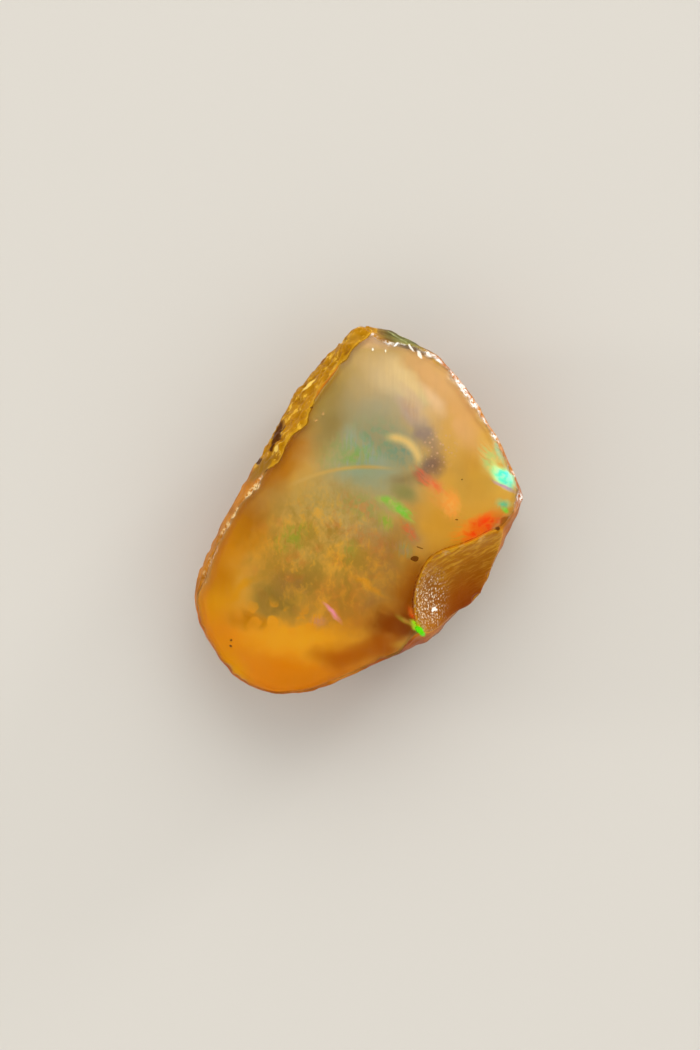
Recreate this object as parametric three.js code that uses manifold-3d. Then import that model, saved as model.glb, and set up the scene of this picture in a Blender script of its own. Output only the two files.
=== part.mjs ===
// A rough precious opal: one natural stone, lying on a flat break with its smooth window face up.
// Millimetres, +Z up. The long axis runs along Y and the origin is under the middle of the stone.
import * as THREE from "three";
import { mergeVertices } from "three/addons/utils/BufferGeometryUtils.js";
import Module from "manifold-3d";

// Driving dimensions
const CROWN = { x: 0.5, y: 2.5, height: 16 }; // the highest point of the window face
const DOME_RADIUS = { x: 32, y: 56 }; // how gently the window face curves along X and Y
const SHOULDER_FROM = 0.78; // past this share of the way out, the window face falls faster
const SHOULDER_DROP = 0.5; // how much lower that makes its rim
const WALL_SWELL = 0.3; // how far the wall stands out of the straight line from rim to girth
const BASE_REACH = 0.92; // the rest face's outline before the breaks, as a share of the girth's
const POINTS_AROUND = 100;
const SCOOP_DETAIL = 15;

// Stations round the stone, anticlockwise seen from above: the girth's X and Y, its height, and
// how far inside it the rim of the window face lies.
const STATIONS = [
  { x: 15.3, y: 13.6, girth: 8.0, inset: 0.9 }, // right corner
  { x: 12.2, y: 16.0, girth: 7.8, inset: 0.8 },
  { x: 8.6, y: 18.3, girth: 7.6, inset: 0.8 },
  { x: 2.2, y: 21.5, girth: 7.0, inset: 0.8 },
  { x: -2.6, y: 23.2, girth: 6.4, inset: 1.1 },
  { x: -9.3, y: 23.6, girth: 5.8, inset: 1.9 }, // glassy side facet
  { x: -13.0, y: 22.2, girth: 5.8, inset: 1.2 }, // top peak
  { x: -14.9, y: 16.6, girth: 6.4, inset: 2.2 }, // crusted wall
  { x: -16.0, y: 9.4, girth: 6.8, inset: 2.5 },
  { x: -16.1, y: 1.6, girth: 6.8, inset: 1.9 },
  { x: -15.8, y: -7.4, girth: 6.4, inset: 1.7 }, // left bevel
  { x: -15.0, y: -14.4, girth: 6.0, inset: 1.6 },
  { x: -13.8, y: -18.3, girth: 5.6, inset: 0.9 }, // left corner
  { x: -9.8, y: -21.4, girth: 5.2, inset: 0.8 },
  { x: -5.2, y: -23.6, girth: 5.0, inset: 0.8 },
  { x: 0.4, y: -23.4, girth: 4.8, inset: 0.7 }, // bottom tip
  { x: 4.2, y: -20.4, girth: 5.0, inset: 0.7 },
  { x: 8.0, y: -15.4, girth: 5.4, inset: 1.0 },
  { x: 12.0, y: -10.4, girth: 5.8, inset: 1.3 },
  { x: 14.6, y: -6.8, girth: 6.0, inset: 1.4 },
  { x: 15.4, y: -3.4, girth: 6.2, inset: 1.4 },
  { x: 16.7, y: -0.4, girth: 6.4, inset: 1.4 }, // under the shell-shaped break
  { x: 16.5, y: 4.0, girth: 6.8, inset: 1.4 },
  { x: 15.9, y: 9.8, girth: 7.4, inset: 1.2 },
];

// Rows of the surface from the crown down to the middle of the rest face. A window row is a share
// of the way out to the rim, a wall row a share of the way down to the girth, and an under row has
// a share of the girth's reach and of its height.
const WINDOW_ROWS = [0, 0.2, 0.4, 0.58, 0.74, 0.86, 0.94, 1];
const WALL_ROWS = [0.33, 0.66, 1];
const UNDER_ROWS = [
  { reach: 0.99, height: 0.6 },
  { reach: 0.96, height: 0.25 },
  { reach: BASE_REACH, height: 0 },
  { reach: BASE_REACH / 2, height: 0 },
  { reach: 0, height: 0 },
];

// Shell-shaped breaks: each is the bite of a sphere that touches one point of the broken face.
// The face looks along a turn from +X and a tilt above the level, in degrees.
const BREAKS = [
  { at: [12.1, 0.1, 9.5], turn: 0, tilt: 45, radius: 11.2 }, // beside the window, on the right
  { at: [13.2, 8.4, 3.4], turn: 6, tilt: -34, radius: 19 }, // under the right corner
  { at: [10.6, -6.2, 2.4], turn: -34, tilt: -46, radius: 34 }, // under the lower right wall
  { at: [2.4, -17.6, 2.4], turn: -74, tilt: -34, radius: 15 }, // under the bottom tip
  { at: [-8.6, -16.4, 2.2], turn: 236, tilt: -50, radius: 27 }, // under the left corner
  { at: [-13.4, -1.0, 3.2], turn: 181, tilt: -24, radius: 60 }, // under the crusted wall
  { at: [-10.6, 18.6, 3.0], turn: 134, tilt: -30, radius: 14 }, // under the top peak
  { at: [1.6, 15.2, 1.8], turn: 74, tilt: -52, radius: 40 }, // under the chipped rim
];

// The girth as one closed curve, and its height and the rim's inset as another on the same run.
const girthCurve = new THREE.CatmullRomCurve3(
  STATIONS.map((s) => new THREE.Vector3(s.x, s.y, 0)),
  true,
);
const edgeCurve = new THREE.CatmullRomCurve3(
  STATIONS.map((s) => new THREE.Vector3(s.inset, 0, s.girth)),
  true,
);

// The window face is one smooth dome, and its shoulder falls away towards the rim.
function windowHeight(x, y, share) {
  const dome = (x - CROWN.x) ** 2 / (2 * DOME_RADIUS.x) + (y - CROWN.y) ** 2 / (2 * DOME_RADIUS.y);
  const shoulder = Math.max(0, (share - SHOULDER_FROM) / (1 - SHOULDER_FROM)) ** 2;
  return CROWN.height - dome - SHOULDER_DROP * shoulder;
}

// Everything the rows need at one place round the stone.
function sectionAt(share) {
  const t = girthCurve.getUtoTmapping(share);
  const girth = girthCurve.getPoint(t);
  const along = girthCurve.getTangent(t);
  const edge = edgeCurve.getPoint(t);
  const rim = new THREE.Vector3(girth.x - along.y * edge.x, girth.y + along.x * edge.x, 0);
  rim.z = windowHeight(rim.x, rim.y, 1);
  return { girth: girth.setZ(edge.z), rim };
}

function windowPoint({ rim }, share) {
  const point = new THREE.Vector3(CROWN.x, CROWN.y, 0).lerp(rim, share);
  return point.setZ(windowHeight(point.x, point.y, share));
}

// The wall swells a little between the rim and the girth.
function wallPoint({ girth, rim }, share) {
  const point = rim.clone().lerp(girth, share + WALL_SWELL * share * (1 - share));
  return point.setZ(THREE.MathUtils.lerp(rim.z, girth.z, share));
}

function underPoint({ girth }, { reach, height }) {
  return new THREE.Vector3(girth.x * reach, girth.y * reach, girth.z * height);
}

// The whole stone before its breaks: a sphere's grid, with each row and column moved into place.
function blankGeometry() {
  const rows = [
    ...WINDOW_ROWS.map((share) => (section) => windowPoint(section, share)),
    ...WALL_ROWS.map((share) => (section) => wallPoint(section, share)),
    ...UNDER_ROWS.map((row) => (section) => underPoint(section, row)),
  ];
  const sphere = new THREE.SphereGeometry(1, POINTS_AROUND, rows.length - 1);
  const sections = [];
  for (let i = 0; i < POINTS_AROUND; i += 1) {
    sections.push(sectionAt(i / POINTS_AROUND));
  }
  const position = sphere.getAttribute("position");
  rows.forEach((pointOf, row) => {
    for (let i = 0; i <= POINTS_AROUND; i += 1) {
      const point = pointOf(sections[i % POINTS_AROUND]);
      position.setXYZ(row * (POINTS_AROUND + 1) + i, point.x, point.y, point.z);
    }
  });
  return sphere;
}

const wasm = await Module();
wasm.setup();

// A manifold solid from any closed geometry.
function solidOf(geometry) {
  const bare = geometry.clone();
  bare.deleteAttribute("normal");
  bare.deleteAttribute("uv");
  const merged = mergeVertices(bare, 1e-4);
  const vertProperties = new Float32Array(merged.getAttribute("position").array);
  const triVerts = new Uint32Array(merged.getIndex().array);
  return new wasm.Manifold(new wasm.Mesh({ numProp: 3, vertProperties, triVerts }));
}

function breakSolid({ at, turn, tilt, radius }) {
  const facing = new THREE.Vector3(1, 0, 0);
  facing.applyAxisAngle(new THREE.Vector3(0, -1, 0), THREE.MathUtils.degToRad(tilt));
  facing.applyAxisAngle(new THREE.Vector3(0, 0, 1), THREE.MathUtils.degToRad(turn));
  const middle = new THREE.Vector3(...at).addScaledVector(facing, radius);
  const ball = new THREE.IcosahedronGeometry(radius, SCOOP_DETAIL);
  return solidOf(ball.translate(middle.x, middle.y, middle.z));
}

function geometryOf(solid) {
  const mesh = solid.getMesh();
  const geometry = new THREE.BufferGeometry();
  geometry.setAttribute("position", new THREE.BufferAttribute(mesh.vertProperties, 3));
  geometry.setIndex(new THREE.BufferAttribute(mesh.triVerts, 1));
  geometry.computeVertexNormals();
  return geometry;
}

// Puts the origin under the middle of the stone.
function centred(geometry) {
  geometry.computeBoundingBox();
  const middle = geometry.boundingBox.getCenter(new THREE.Vector3());
  return geometry.translate(-middle.x, -middle.y, -geometry.boundingBox.min.z);
}

let stone = solidOf(blankGeometry());
for (const bite of BREAKS) {
  stone = stone.subtract(breakSolid(bite));
}

const honeyOpal = new THREE.MeshStandardMaterial({ color: 0xd98a24, roughness: 0.22, metalness: 0 });
const opal = new THREE.Mesh(centred(geometryOf(stone)), honeyOpal);
opal.name = "opal";

const model = new THREE.Group();
model.add(opal);

export default model;
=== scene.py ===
"""Looks of a rough precious opal lying on a pale table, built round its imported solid.

Lengths are in millimetres in the sculpting steps and the finishes, and in metres in the scene.
The stone lies along Y with its window face up, and the origin is on the table under its middle.
"""

import logging
import math
from dataclasses import dataclass, field
from enum import Enum

import bmesh
import bpy
import numpy as np
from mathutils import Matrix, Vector, bvhtree, kdtree, noise


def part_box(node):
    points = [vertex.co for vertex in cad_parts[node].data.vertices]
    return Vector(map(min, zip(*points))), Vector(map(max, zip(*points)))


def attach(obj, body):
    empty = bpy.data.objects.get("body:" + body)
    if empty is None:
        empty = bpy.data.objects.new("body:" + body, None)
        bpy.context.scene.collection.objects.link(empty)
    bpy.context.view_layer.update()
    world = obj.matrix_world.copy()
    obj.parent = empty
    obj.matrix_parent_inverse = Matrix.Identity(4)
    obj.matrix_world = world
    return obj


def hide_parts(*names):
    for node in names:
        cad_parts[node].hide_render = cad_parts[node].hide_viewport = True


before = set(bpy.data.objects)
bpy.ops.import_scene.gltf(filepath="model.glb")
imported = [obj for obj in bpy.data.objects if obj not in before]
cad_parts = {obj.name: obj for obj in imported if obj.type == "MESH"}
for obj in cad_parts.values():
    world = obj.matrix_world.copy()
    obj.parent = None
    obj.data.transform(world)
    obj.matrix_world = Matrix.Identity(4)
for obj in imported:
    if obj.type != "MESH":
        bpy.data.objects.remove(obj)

MM = 0.001
CAD_NODE = "opal"
BODY = "root"

Place = tuple[float, float, float]
Shade = tuple[int, int, int]
Socket = bpy.types.NodeSocket
Feed = Socket | float | tuple[float, ...]
Layer = tuple[Socket, Feed]

log = logging.getLogger("opal")


# ---------------------------------------------------------------- helpers for meshes


def smoothstep(low: float, high: float, value: np.ndarray) -> np.ndarray:
    """Eased step of an array from 0 at low to 1 at high."""
    share = np.clip((value - low) / (high - low), 0.0, 1.0)
    return share * share * (3.0 - 2.0 * share)


@dataclass(frozen=True)
class Lumps:
    """Cloudy noise in space: the size of its largest lumps in millimetres, its layers and its seed."""

    grain: float
    layers: int
    seed: float

    def at(self, places: np.ndarray) -> np.ndarray:
        """Looks the noise up.

        Args:
            places: Points in millimetres, one row each.

        Returns:
            One value for each point, about -1 to 1.
        """
        moved = places / self.grain + self.seed
        values = (noise.fractal(Vector(p), 1.0, 2.1, self.layers) for p in moved)
        return np.fromiter(values, float, len(places))


@dataclass
class Creases:
    """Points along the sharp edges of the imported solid, in millimetres, with the way each looks."""

    places: np.ndarray
    facings: np.ndarray

    @classmethod
    def of(cls, work: bmesh.types.BMesh, least_angle: float, spacing: float) -> "Creases":
        """Finds them.

        Args:
            work: The merged solid, in metres.
            least_angle: Edges that turn less than this, in degrees, are left out.
            spacing: Distance between points in millimetres.

        Returns:
            The points and the mean normals of the two faces at each.
        """
        places, facings = [], []
        for edge in work.edges:
            if len(edge.link_faces) != 2 or edge.calc_face_angle_signed() < math.radians(least_angle):
                continue
            facing = (edge.link_faces[0].normal + edge.link_faces[1].normal).normalized()
            start, end = (v.co / MM for v in edge.verts)
            steps = max(1, round((end - start).length / spacing))
            for i in range(steps):
                places.append(start.lerp(end, (i + 0.5) / steps))
                facings.append(facing)
        return cls(np.array(places), np.array(facings))

    def distance_from(self, points: np.ndarray) -> np.ndarray:
        """Measures how far each point is from the nearest crease.

        Args:
            points: The points, one row each.

        Returns:
            One distance for each point, in millimetres.
        """
        tree = kdtree.KDTree(len(self.places))
        for i, place in enumerate(self.places):
            tree.insert(place, i)
        tree.balance()
        return np.fromiter((tree.find(p)[2] for p in points), float, len(points))


@dataclass
class Skin:
    """The stone's even mesh as arrays, in millimetres, which the sculpting steps move."""

    mesh: bpy.types.Mesh
    places: np.ndarray = field(init=False)
    quads: np.ndarray = field(init=False)
    edges: np.ndarray = field(init=False)

    def __post_init__(self) -> None:
        """Reads the mesh, whose faces all have four corners."""
        flat = np.empty(len(self.mesh.vertices) * 3)
        self.mesh.vertices.foreach_get("co", flat)
        self.places = flat.reshape(-1, 3) / MM
        corners = np.empty(len(self.mesh.loops), np.int32)
        self.mesh.loops.foreach_get("vertex_index", corners)
        self.quads = corners.reshape(-1, 4)
        ends = np.empty(len(self.mesh.edges) * 2, np.int32)
        self.mesh.edges.foreach_get("vertices", ends)
        self.edges = ends.reshape(-1, 2)

    def normals(self) -> np.ndarray:
        """Works out the way each point looks.

        Returns:
            A unit normal for each point, the mean of its faces by their areas.
        """
        a, b, c, d = (self.places[self.quads[:, i]] for i in range(4))
        of_faces = np.cross(c - a, d - b)
        total = np.stack([self._gather(of_faces[:, axis]) for axis in range(3)], 1)
        return total / np.maximum(np.linalg.norm(total, axis=1), 1e-12)[:, None]

    def _gather(self, of_faces: np.ndarray) -> np.ndarray:
        """Sum of a face value at each face's corners."""
        spread = np.repeat(of_faces, 4)
        return np.bincount(self.quads.ravel(), spread, len(self.places))

    def neighbour_mean(self, values: np.ndarray) -> np.ndarray:
        """Takes the mean of each point's neighbours.

        Args:
            values: One value or one row of values for each point.

        Returns:
            The means, in the same shape.
        """
        first, second = self.edges[:, 0], self.edges[:, 1]
        count = np.bincount(self.edges.ravel(), minlength=len(values))
        columns = []
        for column in values.reshape(len(values), -1).T:
            total = np.bincount(first, column[second], len(column))
            total += np.bincount(second, column[first], len(column))
            columns.append(total / np.maximum(count, 1))
        return np.stack(columns, 1).reshape(values.shape)

    def smooth(self, rounds: int, share: np.ndarray | float = 1.0) -> None:
        """Relaxes the points.

        Args:
            rounds: How many times.
            share: How strongly each point takes part, from 0 to 1.
        """
        share = np.broadcast_to(np.asarray(share, float), len(self.places))[:, None]
        for _ in range(rounds):
            self.places += 0.5 * share * (self.neighbour_mean(self.places) - self.places)

    def push(self, amount: np.ndarray) -> None:
        """Moves each point along its normal by its own amount in millimetres."""
        self.places += self.normals() * amount[:, None]

    def bite(self, place: np.ndarray, facing: np.ndarray, radius: float, depth: float) -> np.ndarray:
        """Knocks a shell-shaped chip out of the surface.

        Args:
            place: The point that the chip is centred on.
            facing: Unit direction out of the stone there.
            radius: Radius of the ball that bites.
            depth: How far it reaches below the point.

        Returns:
            The numbers of the points that moved.
        """
        middle = place + facing * (radius - depth)
        away = self.places - middle
        distance = np.linalg.norm(away, axis=1)
        hit = np.nonzero(distance < radius)[0]
        self.places[hit] = middle + away[hit] / np.maximum(distance[hit], 1e-6)[:, None] * radius
        return hit

    def write(self) -> None:
        """Puts the points back into the mesh."""
        self.mesh.vertices.foreach_set("co", (self.places * MM).ravel())
        self.mesh.update()

    def store(self, mark: Enum, values: np.ndarray) -> None:
        """Keeps one value per point as an attribute that a finish can read."""
        layer = self.mesh.attributes.new(mark.value, "FLOAT", "POINT")
        layer.data.foreach_set("value", np.clip(values, 0.0, 1.0).astype(np.float32))


def merged_copy(source: bpy.types.Object, name: str) -> bpy.types.Object:
    """Makes a new object with the source's mesh, its loose triangles joined.

    Args:
        source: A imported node, or a finished piece.
        name: The new object's name.

    Returns:
        The new object, linked to the scene.
    """
    work = bmesh.new()
    work.from_mesh(source.data)
    bmesh.ops.remove_doubles(work, verts=work.verts, dist=0.002 * MM)
    mesh = bpy.data.meshes.new(name)
    work.to_mesh(mesh)
    work.free()
    piece = bpy.data.objects.new(name, mesh)
    bpy.context.scene.collection.objects.link(piece)
    return piece


def make_even(piece: bpy.types.Object, voxel: float) -> None:
    """Gives a closed piece a new skin of even squares.

    Args:
        piece: The piece, whose mesh is replaced.
        voxel: Side of a square in millimetres.
    """
    even = piece.modifiers.new("even skin", "REMESH")
    even.mode = "VOXEL"
    even.voxel_size = voxel * MM
    evaluated = piece.evaluated_get(bpy.context.evaluated_depsgraph_get())
    skinned = bpy.data.meshes.new_from_object(evaluated)
    piece.modifiers.clear()
    piece.data = skinned


# ---------------------------------------------------------------- the stone


class Mark(Enum):
    """Values that the stone's skin keeps at each point, for its finish to read."""

    WINDOW = "window"
    CRUST = "crust"
    # how strongly a point is painted with white bruises and painted glints
    CHIPPED = "chipped"
    # how deep a point lies in the crust's hollows and pits, which the finish paints darker as shade
    HOLLOW = "hollow"
    BREAK = "break"


@dataclass(frozen=True)
class ChipRun:
    """Small breaks along a stretch of edge, given by turns from +X in degrees round the stone.

    Each chip's radius and depth are drawn between two values. A chip sparkles by the run's sparkle
    if it falls in the run's share of white bruises and painted glints, and only faintly if it does not.
    """

    name: str
    start: float
    stop: float
    count: int
    radius: tuple[float, float]
    depth: tuple[float, float]
    heights: tuple[float, float]
    sparkle: float = 0.0
    bruised_and_glinting: float = 0.36

    def chosen(self, creases: Creases) -> np.ndarray:
        """Finds the crease points on this stretch.

        Args:
            creases: All the crease points.

        Returns:
            The numbers of those on the stretch.
        """
        turn = np.degrees(np.arctan2(creases.places[:, 1], creases.places[:, 0]))
        along = (turn - self.start) % 360.0 < (self.stop - self.start) % 360.0
        height = creases.places[:, 2]
        return np.nonzero(along & (height > self.heights[0]) & (height < self.heights[1]))[0]


@dataclass(frozen=True)
class Swell:
    """Unevenness of the skin: its lumps, and their height on the walls and on the window."""

    lumps: Lumps
    on_walls: float
    on_window: float


@dataclass(frozen=True)
class Ripple:
    """Rings that spread over a break from the point where the blow fell."""

    at: Place
    reach: float
    wave: float
    height: float
    on_break: bool = False


@dataclass(frozen=True)
class Pull:
    """A soft pull on the skin: where it takes hold, how far round that it reaches, and how it moves."""

    name: str
    at: Place
    reach: float
    move: Place

    def apply(self, places: np.ndarray) -> None:
        """Moves the points, those nearest to the hold the most."""
        away = np.linalg.norm(places - np.array(self.at), axis=1)
        places += smoothstep(self.reach, 0.0, away)[:, None] * np.array(self.move)


@dataclass(frozen=True)
class Pit:
    """A hollow with a place, the way it opens, and its radius and depth."""

    at: Place
    facing: Place
    radius: float
    depth: float


@dataclass
class Stone:
    """The opal itself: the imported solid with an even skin, worn, chipped and crusted.

    Sizes are in millimetres, and a pair of plain values is what a smooth step runs between. The crust
    line gives the X of the crust's inner edge for each Y, and the steepened line gives how far the
    window's edge is carried out for each turn from +X, from 0 to 1.
    """

    voxel: float = 0.225
    crease_angle: float = 20.0
    crease_spacing: float = 0.3
    crease_band: tuple[float, float] = (0.3, 1.1)
    smoothing: int = 60
    # sparkle of a chip outside the share with bruises and painted glints
    faint_sparkle: float = 0.14
    chip_tilt: float = 0.25
    seed: int = 7
    blow: Place = (19.67, 0.17, 17.42)
    blow_radius: float = 11.2
    blow_band: tuple[float, float] = (0.5, 0.15)
    window_slope: tuple[float, float] = (0.7, 0.85)
    window_height: tuple[float, float] = (8.0, 9.0)
    window_edge: tuple[float, float] = (0.55, 1.0)
    chip_runs: tuple[ChipRun, ...] = (
        ChipRun("top edge", 104.0, 120.0, 46, (0.25, 0.6), (0.06, 0.18), (9.0, 16.0), 1.0, 0.4),
        ChipRun("far lace", 93.0, 104.0, 50, (0.3, 0.9), (0.1, 0.3), (9.0, 16.0), 1.0, 0.6),
        ChipRun("far clumps", 80.0, 91.0, 44, (0.5, 1.6), (0.15, 0.45), (9.0, 16.0), 1.0, 0.6),
        ChipRun("sparkling rim", 39.0, 78.0, 96, (0.3, 1.3), (0.1, 0.38), (9.0, 16.0), 1.0, 0.36),
        ChipRun("left bevel", 180.0, 226.0, 70, (0.3, 1.2), (0.06, 0.26), (7.5, 16.0), 0.8, 0.45),
        ChipRun("bottom rim", 234.0, 330.0, 50, (0.4, 1.2), (0.06, 0.2), (6.5, 16.0)),
        ChipRun("edge of the shell break", 330.0, 42.0, 60, (0.4, 1.1), (0.05, 0.18), (4.0, 16.0), 0.12),
        ChipRun("lower edges", 0.0, 359.9, 170, (0.5, 2.0), (0.1, 0.4), (0.4, 8.0)),
    )
    swells: tuple[Swell, ...] = (
        Swell(Lumps(5.0, 3, 3.1), 0.22, 0.05),
        Swell(Lumps(1.1, 3, 9.4), 0.05, 0.0),
    )
    ripples: tuple[Ripple, ...] = (
        Ripple((9.0, -4.5, 13.4), 13.0, 1.5, 0.012, True),
        Ripple((15.5, 5.0, 6.0), 14.0, 2.1, 0.06),
        Ripple((9.0, -14.5, 5.0), 15.0, 2.4, 0.07),
        Ripple((-14.0, -17.0, 5.0), 15.0, 2.2, 0.07),
        Ripple((-16.0, 8.0, 5.0), 16.0, 2.6, 0.06),
        Ripple((0.0, 21.5, 6.0), 16.0, 2.4, 0.07),
    )
    ring_wobble: float = 0.5
    ring_core: float = 0.3
    pulls: tuple[Pull, ...] = (
        Pull("upper edge of the break", (10.4, 6.0, 13.5), 6.3, (1.35, -0.87, 0.0)),
        Pull("top of the crust", (-13.6, 20.0, 11.0), 4.6, (-1.15, 0.55, 0.0)),
        Pull("far facet", (-6.8, 23.4, 11.5), 3.6, (0.1, 0.4, 0.0)),
    )
    crust_line: tuple[tuple[float, ...], tuple[float, ...]] = (
        (-3.0, 2.0, 8.0, 16.0, 19.0, 22.5),
        (-15.4, -14.2, -13.7, -13.6, -12.9, -11.5),
    )
    crust_edge: Lumps = Lumps(3.0, 3, 5.7)
    crust_lumps: Lumps = Lumps(1.9, 3, 2.2)
    crust_grit: Lumps = Lumps(0.6, 2, 8.8)
    crust_lift: float = 0.08
    crust_furrow: float = 0.7
    crust_roughness: float = 0.1
    pits: tuple[Pit, ...] = (
        Pit((-15.6, 6.0, 9.9), (-0.8, 0.0, 0.6), 0.9, 0.6),
        Pit((-15.3, 4.6, 10.2), (-0.7, 0.1, 0.7), 0.9, 0.5),
        Pit((-15.0, 3.4, 10.4), (-0.7, 0.1, 0.7), 0.6, 0.4),
        Pit((-15.9, 1.1, 9.4), (-0.8, 0.1, 0.6), 0.6, 0.5),
        Pit((-14.3, 19.4, 9.4), (-0.7, 0.3, 0.6), 0.6, 0.4),
    )
    sectors: int = 120
    steepness: float = 0.9
    steepened: tuple[tuple[float, ...], tuple[float, ...]] = (
        (32.0, 40.0, 52.0, 98.0, 112.0, 185.0, 198.0, 228.0, 242.0, 316.0, 326.0),
        (0.0, 0.7, 1.0, 1.0, 0.0, 0.0, 0.5, 0.6, 1.0, 1.0, 0.0),
    )
    rest_height: float = 0.3
    rest_unevenness: float = 0.05
    rest_limit: float = 0.12

    def build(self, node: bpy.types.Object) -> bpy.types.Object:
        """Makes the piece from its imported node.

        Args:
            node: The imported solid.

        Returns:
            The finished piece, with no material yet.
        """
        piece = merged_copy(node, "opal_stone")
        creases = self._creases(piece)
        make_even(piece, self.voxel)
        skin = Skin(piece.data)
        gap = creases.distance_from(skin.places)
        skin.smooth(self.smoothing, smoothstep(*self.crease_band, gap))
        skin.smooth(3)
        off = np.abs(np.linalg.norm(skin.places - self.blow, axis=1) - self.blow_radius)
        broken = smoothstep(*self.blow_band, off)
        for pull in self.pulls:
            log.info("pull: %s", pull.name)
            pull.apply(skin.places)
            pull.apply(creases.places)
        window = self._window(skin)
        self._steepen(skin, creases, window)
        self._swell(skin, window)
        self._ring(skin, window, broken)
        crust, hollow = self._crust(skin)
        chipped = self._chip(skin, creases)
        skin.smooth(1, 0.5)
        self._settle(skin)
        skin.store(Mark.WINDOW, window)
        skin.store(Mark.CRUST, crust)
        skin.store(Mark.HOLLOW, hollow)
        skin.store(Mark.BREAK, broken)
        skin.store(Mark.CHIPPED, skin.neighbour_mean(chipped))
        skin.write()
        piece.data.shade_smooth()
        return piece

    def _creases(self, piece: bpy.types.Object) -> Creases:
        """Finds the sharp edges of the solid, before it gets its even skin.

        Args:
            piece: The merged solid.

        Returns:
            Its crease points.
        """
        work = bmesh.new()
        work.from_mesh(piece.data)
        found = Creases.of(work, self.crease_angle, self.crease_spacing)
        work.free()
        return found

    def _window(self, skin: Skin) -> np.ndarray:
        """How far each point belongs to the window face, from 0 to 1."""
        level = smoothstep(*self.window_slope, skin.normals()[:, 2])
        return level * smoothstep(*self.window_height, skin.places[:, 2])

    def _steepen(self, skin: Skin, creases: Creases, window: np.ndarray) -> None:
        """Carries the window's edge out over the walls that lean in, by turns round the stone.

        Args:
            skin: The skin to shape.
            creases: The edges of the solid, which move with it.
            window: How far each point belongs to the window face.
        """
        outline, rim = np.zeros(self.sectors), np.zeros(self.sectors)
        sector = (self._turn(skin.places) * self.sectors // 360).astype(int) % self.sectors
        reach = np.hypot(skin.places[:, 0], skin.places[:, 1])
        np.maximum.at(outline, sector, reach)
        np.maximum.at(rim, sector[window > 0.5], reach[window > 0.5])
        outline, rim = (sum(np.roll(line, i) for i in (-2, -1, 0, 1, 2)) / 5.0 for line in (outline, rim))
        middles = (np.arange(self.sectors) + 0.5) * 360.0 / self.sectors
        for places, upward in ((skin.places, smoothstep(0.0, 0.15, skin.normals()[:, 2])),
                               (creases.places, smoothstep(0.2, 0.4, creases.facings[:, 2]))):
            turn, reach = self._turn(places), np.hypot(places[:, 0], places[:, 1])
            edge = np.interp(turn, middles, rim, period=360.0)
            share = self.steepness * np.interp(turn, *self.steepened)
            gap = np.maximum(np.interp(turn, middles, outline, period=360.0) - np.maximum(reach, edge), 0.0)
            moved = share * gap * smoothstep(*self.window_edge, reach / edge) * upward
            places[:, :2] *= (1.0 + moved / np.maximum(reach, 1e-6))[:, None]

    @staticmethod
    def _turn(places: np.ndarray) -> np.ndarray:
        """Turn of each point from +X round the stone, from 0 to 360 degrees."""
        return np.degrees(np.arctan2(places[:, 1], places[:, 0])) % 360.0

    def _swell(self, skin: Skin, window: np.ndarray) -> None:
        """Pushes slow swells and fine hackle into the skin, weaker on the window face.

        Args:
            skin: The skin to shape.
            window: How far each point belongs to the window face.
        """
        for swell in self.swells:
            height = swell.on_walls + (swell.on_window - swell.on_walls) * window
            skin.push(swell.lumps.at(skin.places) * height)

    def _ring(self, skin: Skin, window: np.ndarray, broken: np.ndarray) -> None:
        """Rings the broken faces, the shell-shaped break more faintly.

        Args:
            skin: The skin to shape.
            window: How far each point belongs to the window face.
            broken: How far each point belongs to the shell-shaped break.
        """
        for ripple in self.ripples:
            away = np.linalg.norm(skin.places - np.array(ripple.at), axis=1)
            wobble = self.ring_wobble * Lumps(4.0, 2, ripple.wave).at(skin.places)
            fade = smoothstep(ripple.reach, self.ring_core * ripple.reach, away) * (1.0 - window)
            fade *= broken if ripple.on_break else 1.0 - broken
            skin.push(ripple.height * fade * np.sin((away + wobble) / ripple.wave * 2.0 * math.pi))

    def _crust(self, skin: Skin) -> tuple[np.ndarray, np.ndarray]:
        """Makes the crumbly lumps and pits of the left wall.

        Args:
            skin: The skin to shape.

        Returns:
            How far each point is crusted, and how deep it lies in a hollow, both from 0 to 1.
        """
        x, y, z = skin.places.T
        ragged = self.crust_edge.at(skin.places)
        share = smoothstep(0.7, -0.5, x + 0.8 * ragged - np.interp(y, *self.crust_line))
        share *= smoothstep(-2.5, 3.0, y + 1.2 * ragged) * smoothstep(1.0, 3.5, z + 0.9 * ragged)
        lumps = np.abs(self.crust_lumps.at(skin.places))
        grit = self.crust_grit.at(skin.places)
        skin.push(share * (self.crust_lift - self.crust_furrow * lumps + self.crust_roughness * grit))
        hollow = 0.3 * smoothstep(0.2, 0.6, lumps)
        for pit in self.pits:
            facing = Vector(pit.facing).normalized()
            hollow[skin.bite(np.array(pit.at), np.array(facing), pit.radius, pit.depth)] = 1.0
        return share, hollow

    def _chip(self, skin: Skin, creases: Creases) -> np.ndarray:
        """Breaks small chips out of the edges.

        Args:
            skin: The skin to shape.
            creases: The edges of the solid.

        Returns:
            How much each point sparkles, from 0 to 1.
        """
        draw = np.random.default_rng(self.seed)
        chipped = np.zeros(len(skin.places))
        for run in self.chip_runs:
            chosen = run.chosen(creases)
            log.info("%s: %d crease points", run.name, len(chosen))
            for i in draw.choice(chosen, run.count):
                facing = creases.facings[i] + draw.normal(0.0, self.chip_tilt, 3)
                facing /= np.linalg.norm(facing)
                radius, depth = draw.uniform(*run.radius), draw.uniform(*run.depth)
                hit = skin.bite(creases.places[i], facing, radius, depth)
                chipped[hit] = run.sparkle * (1.0 if draw.random() < run.bruised_and_glinting else self.faint_sparkle)
        return chipped

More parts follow.
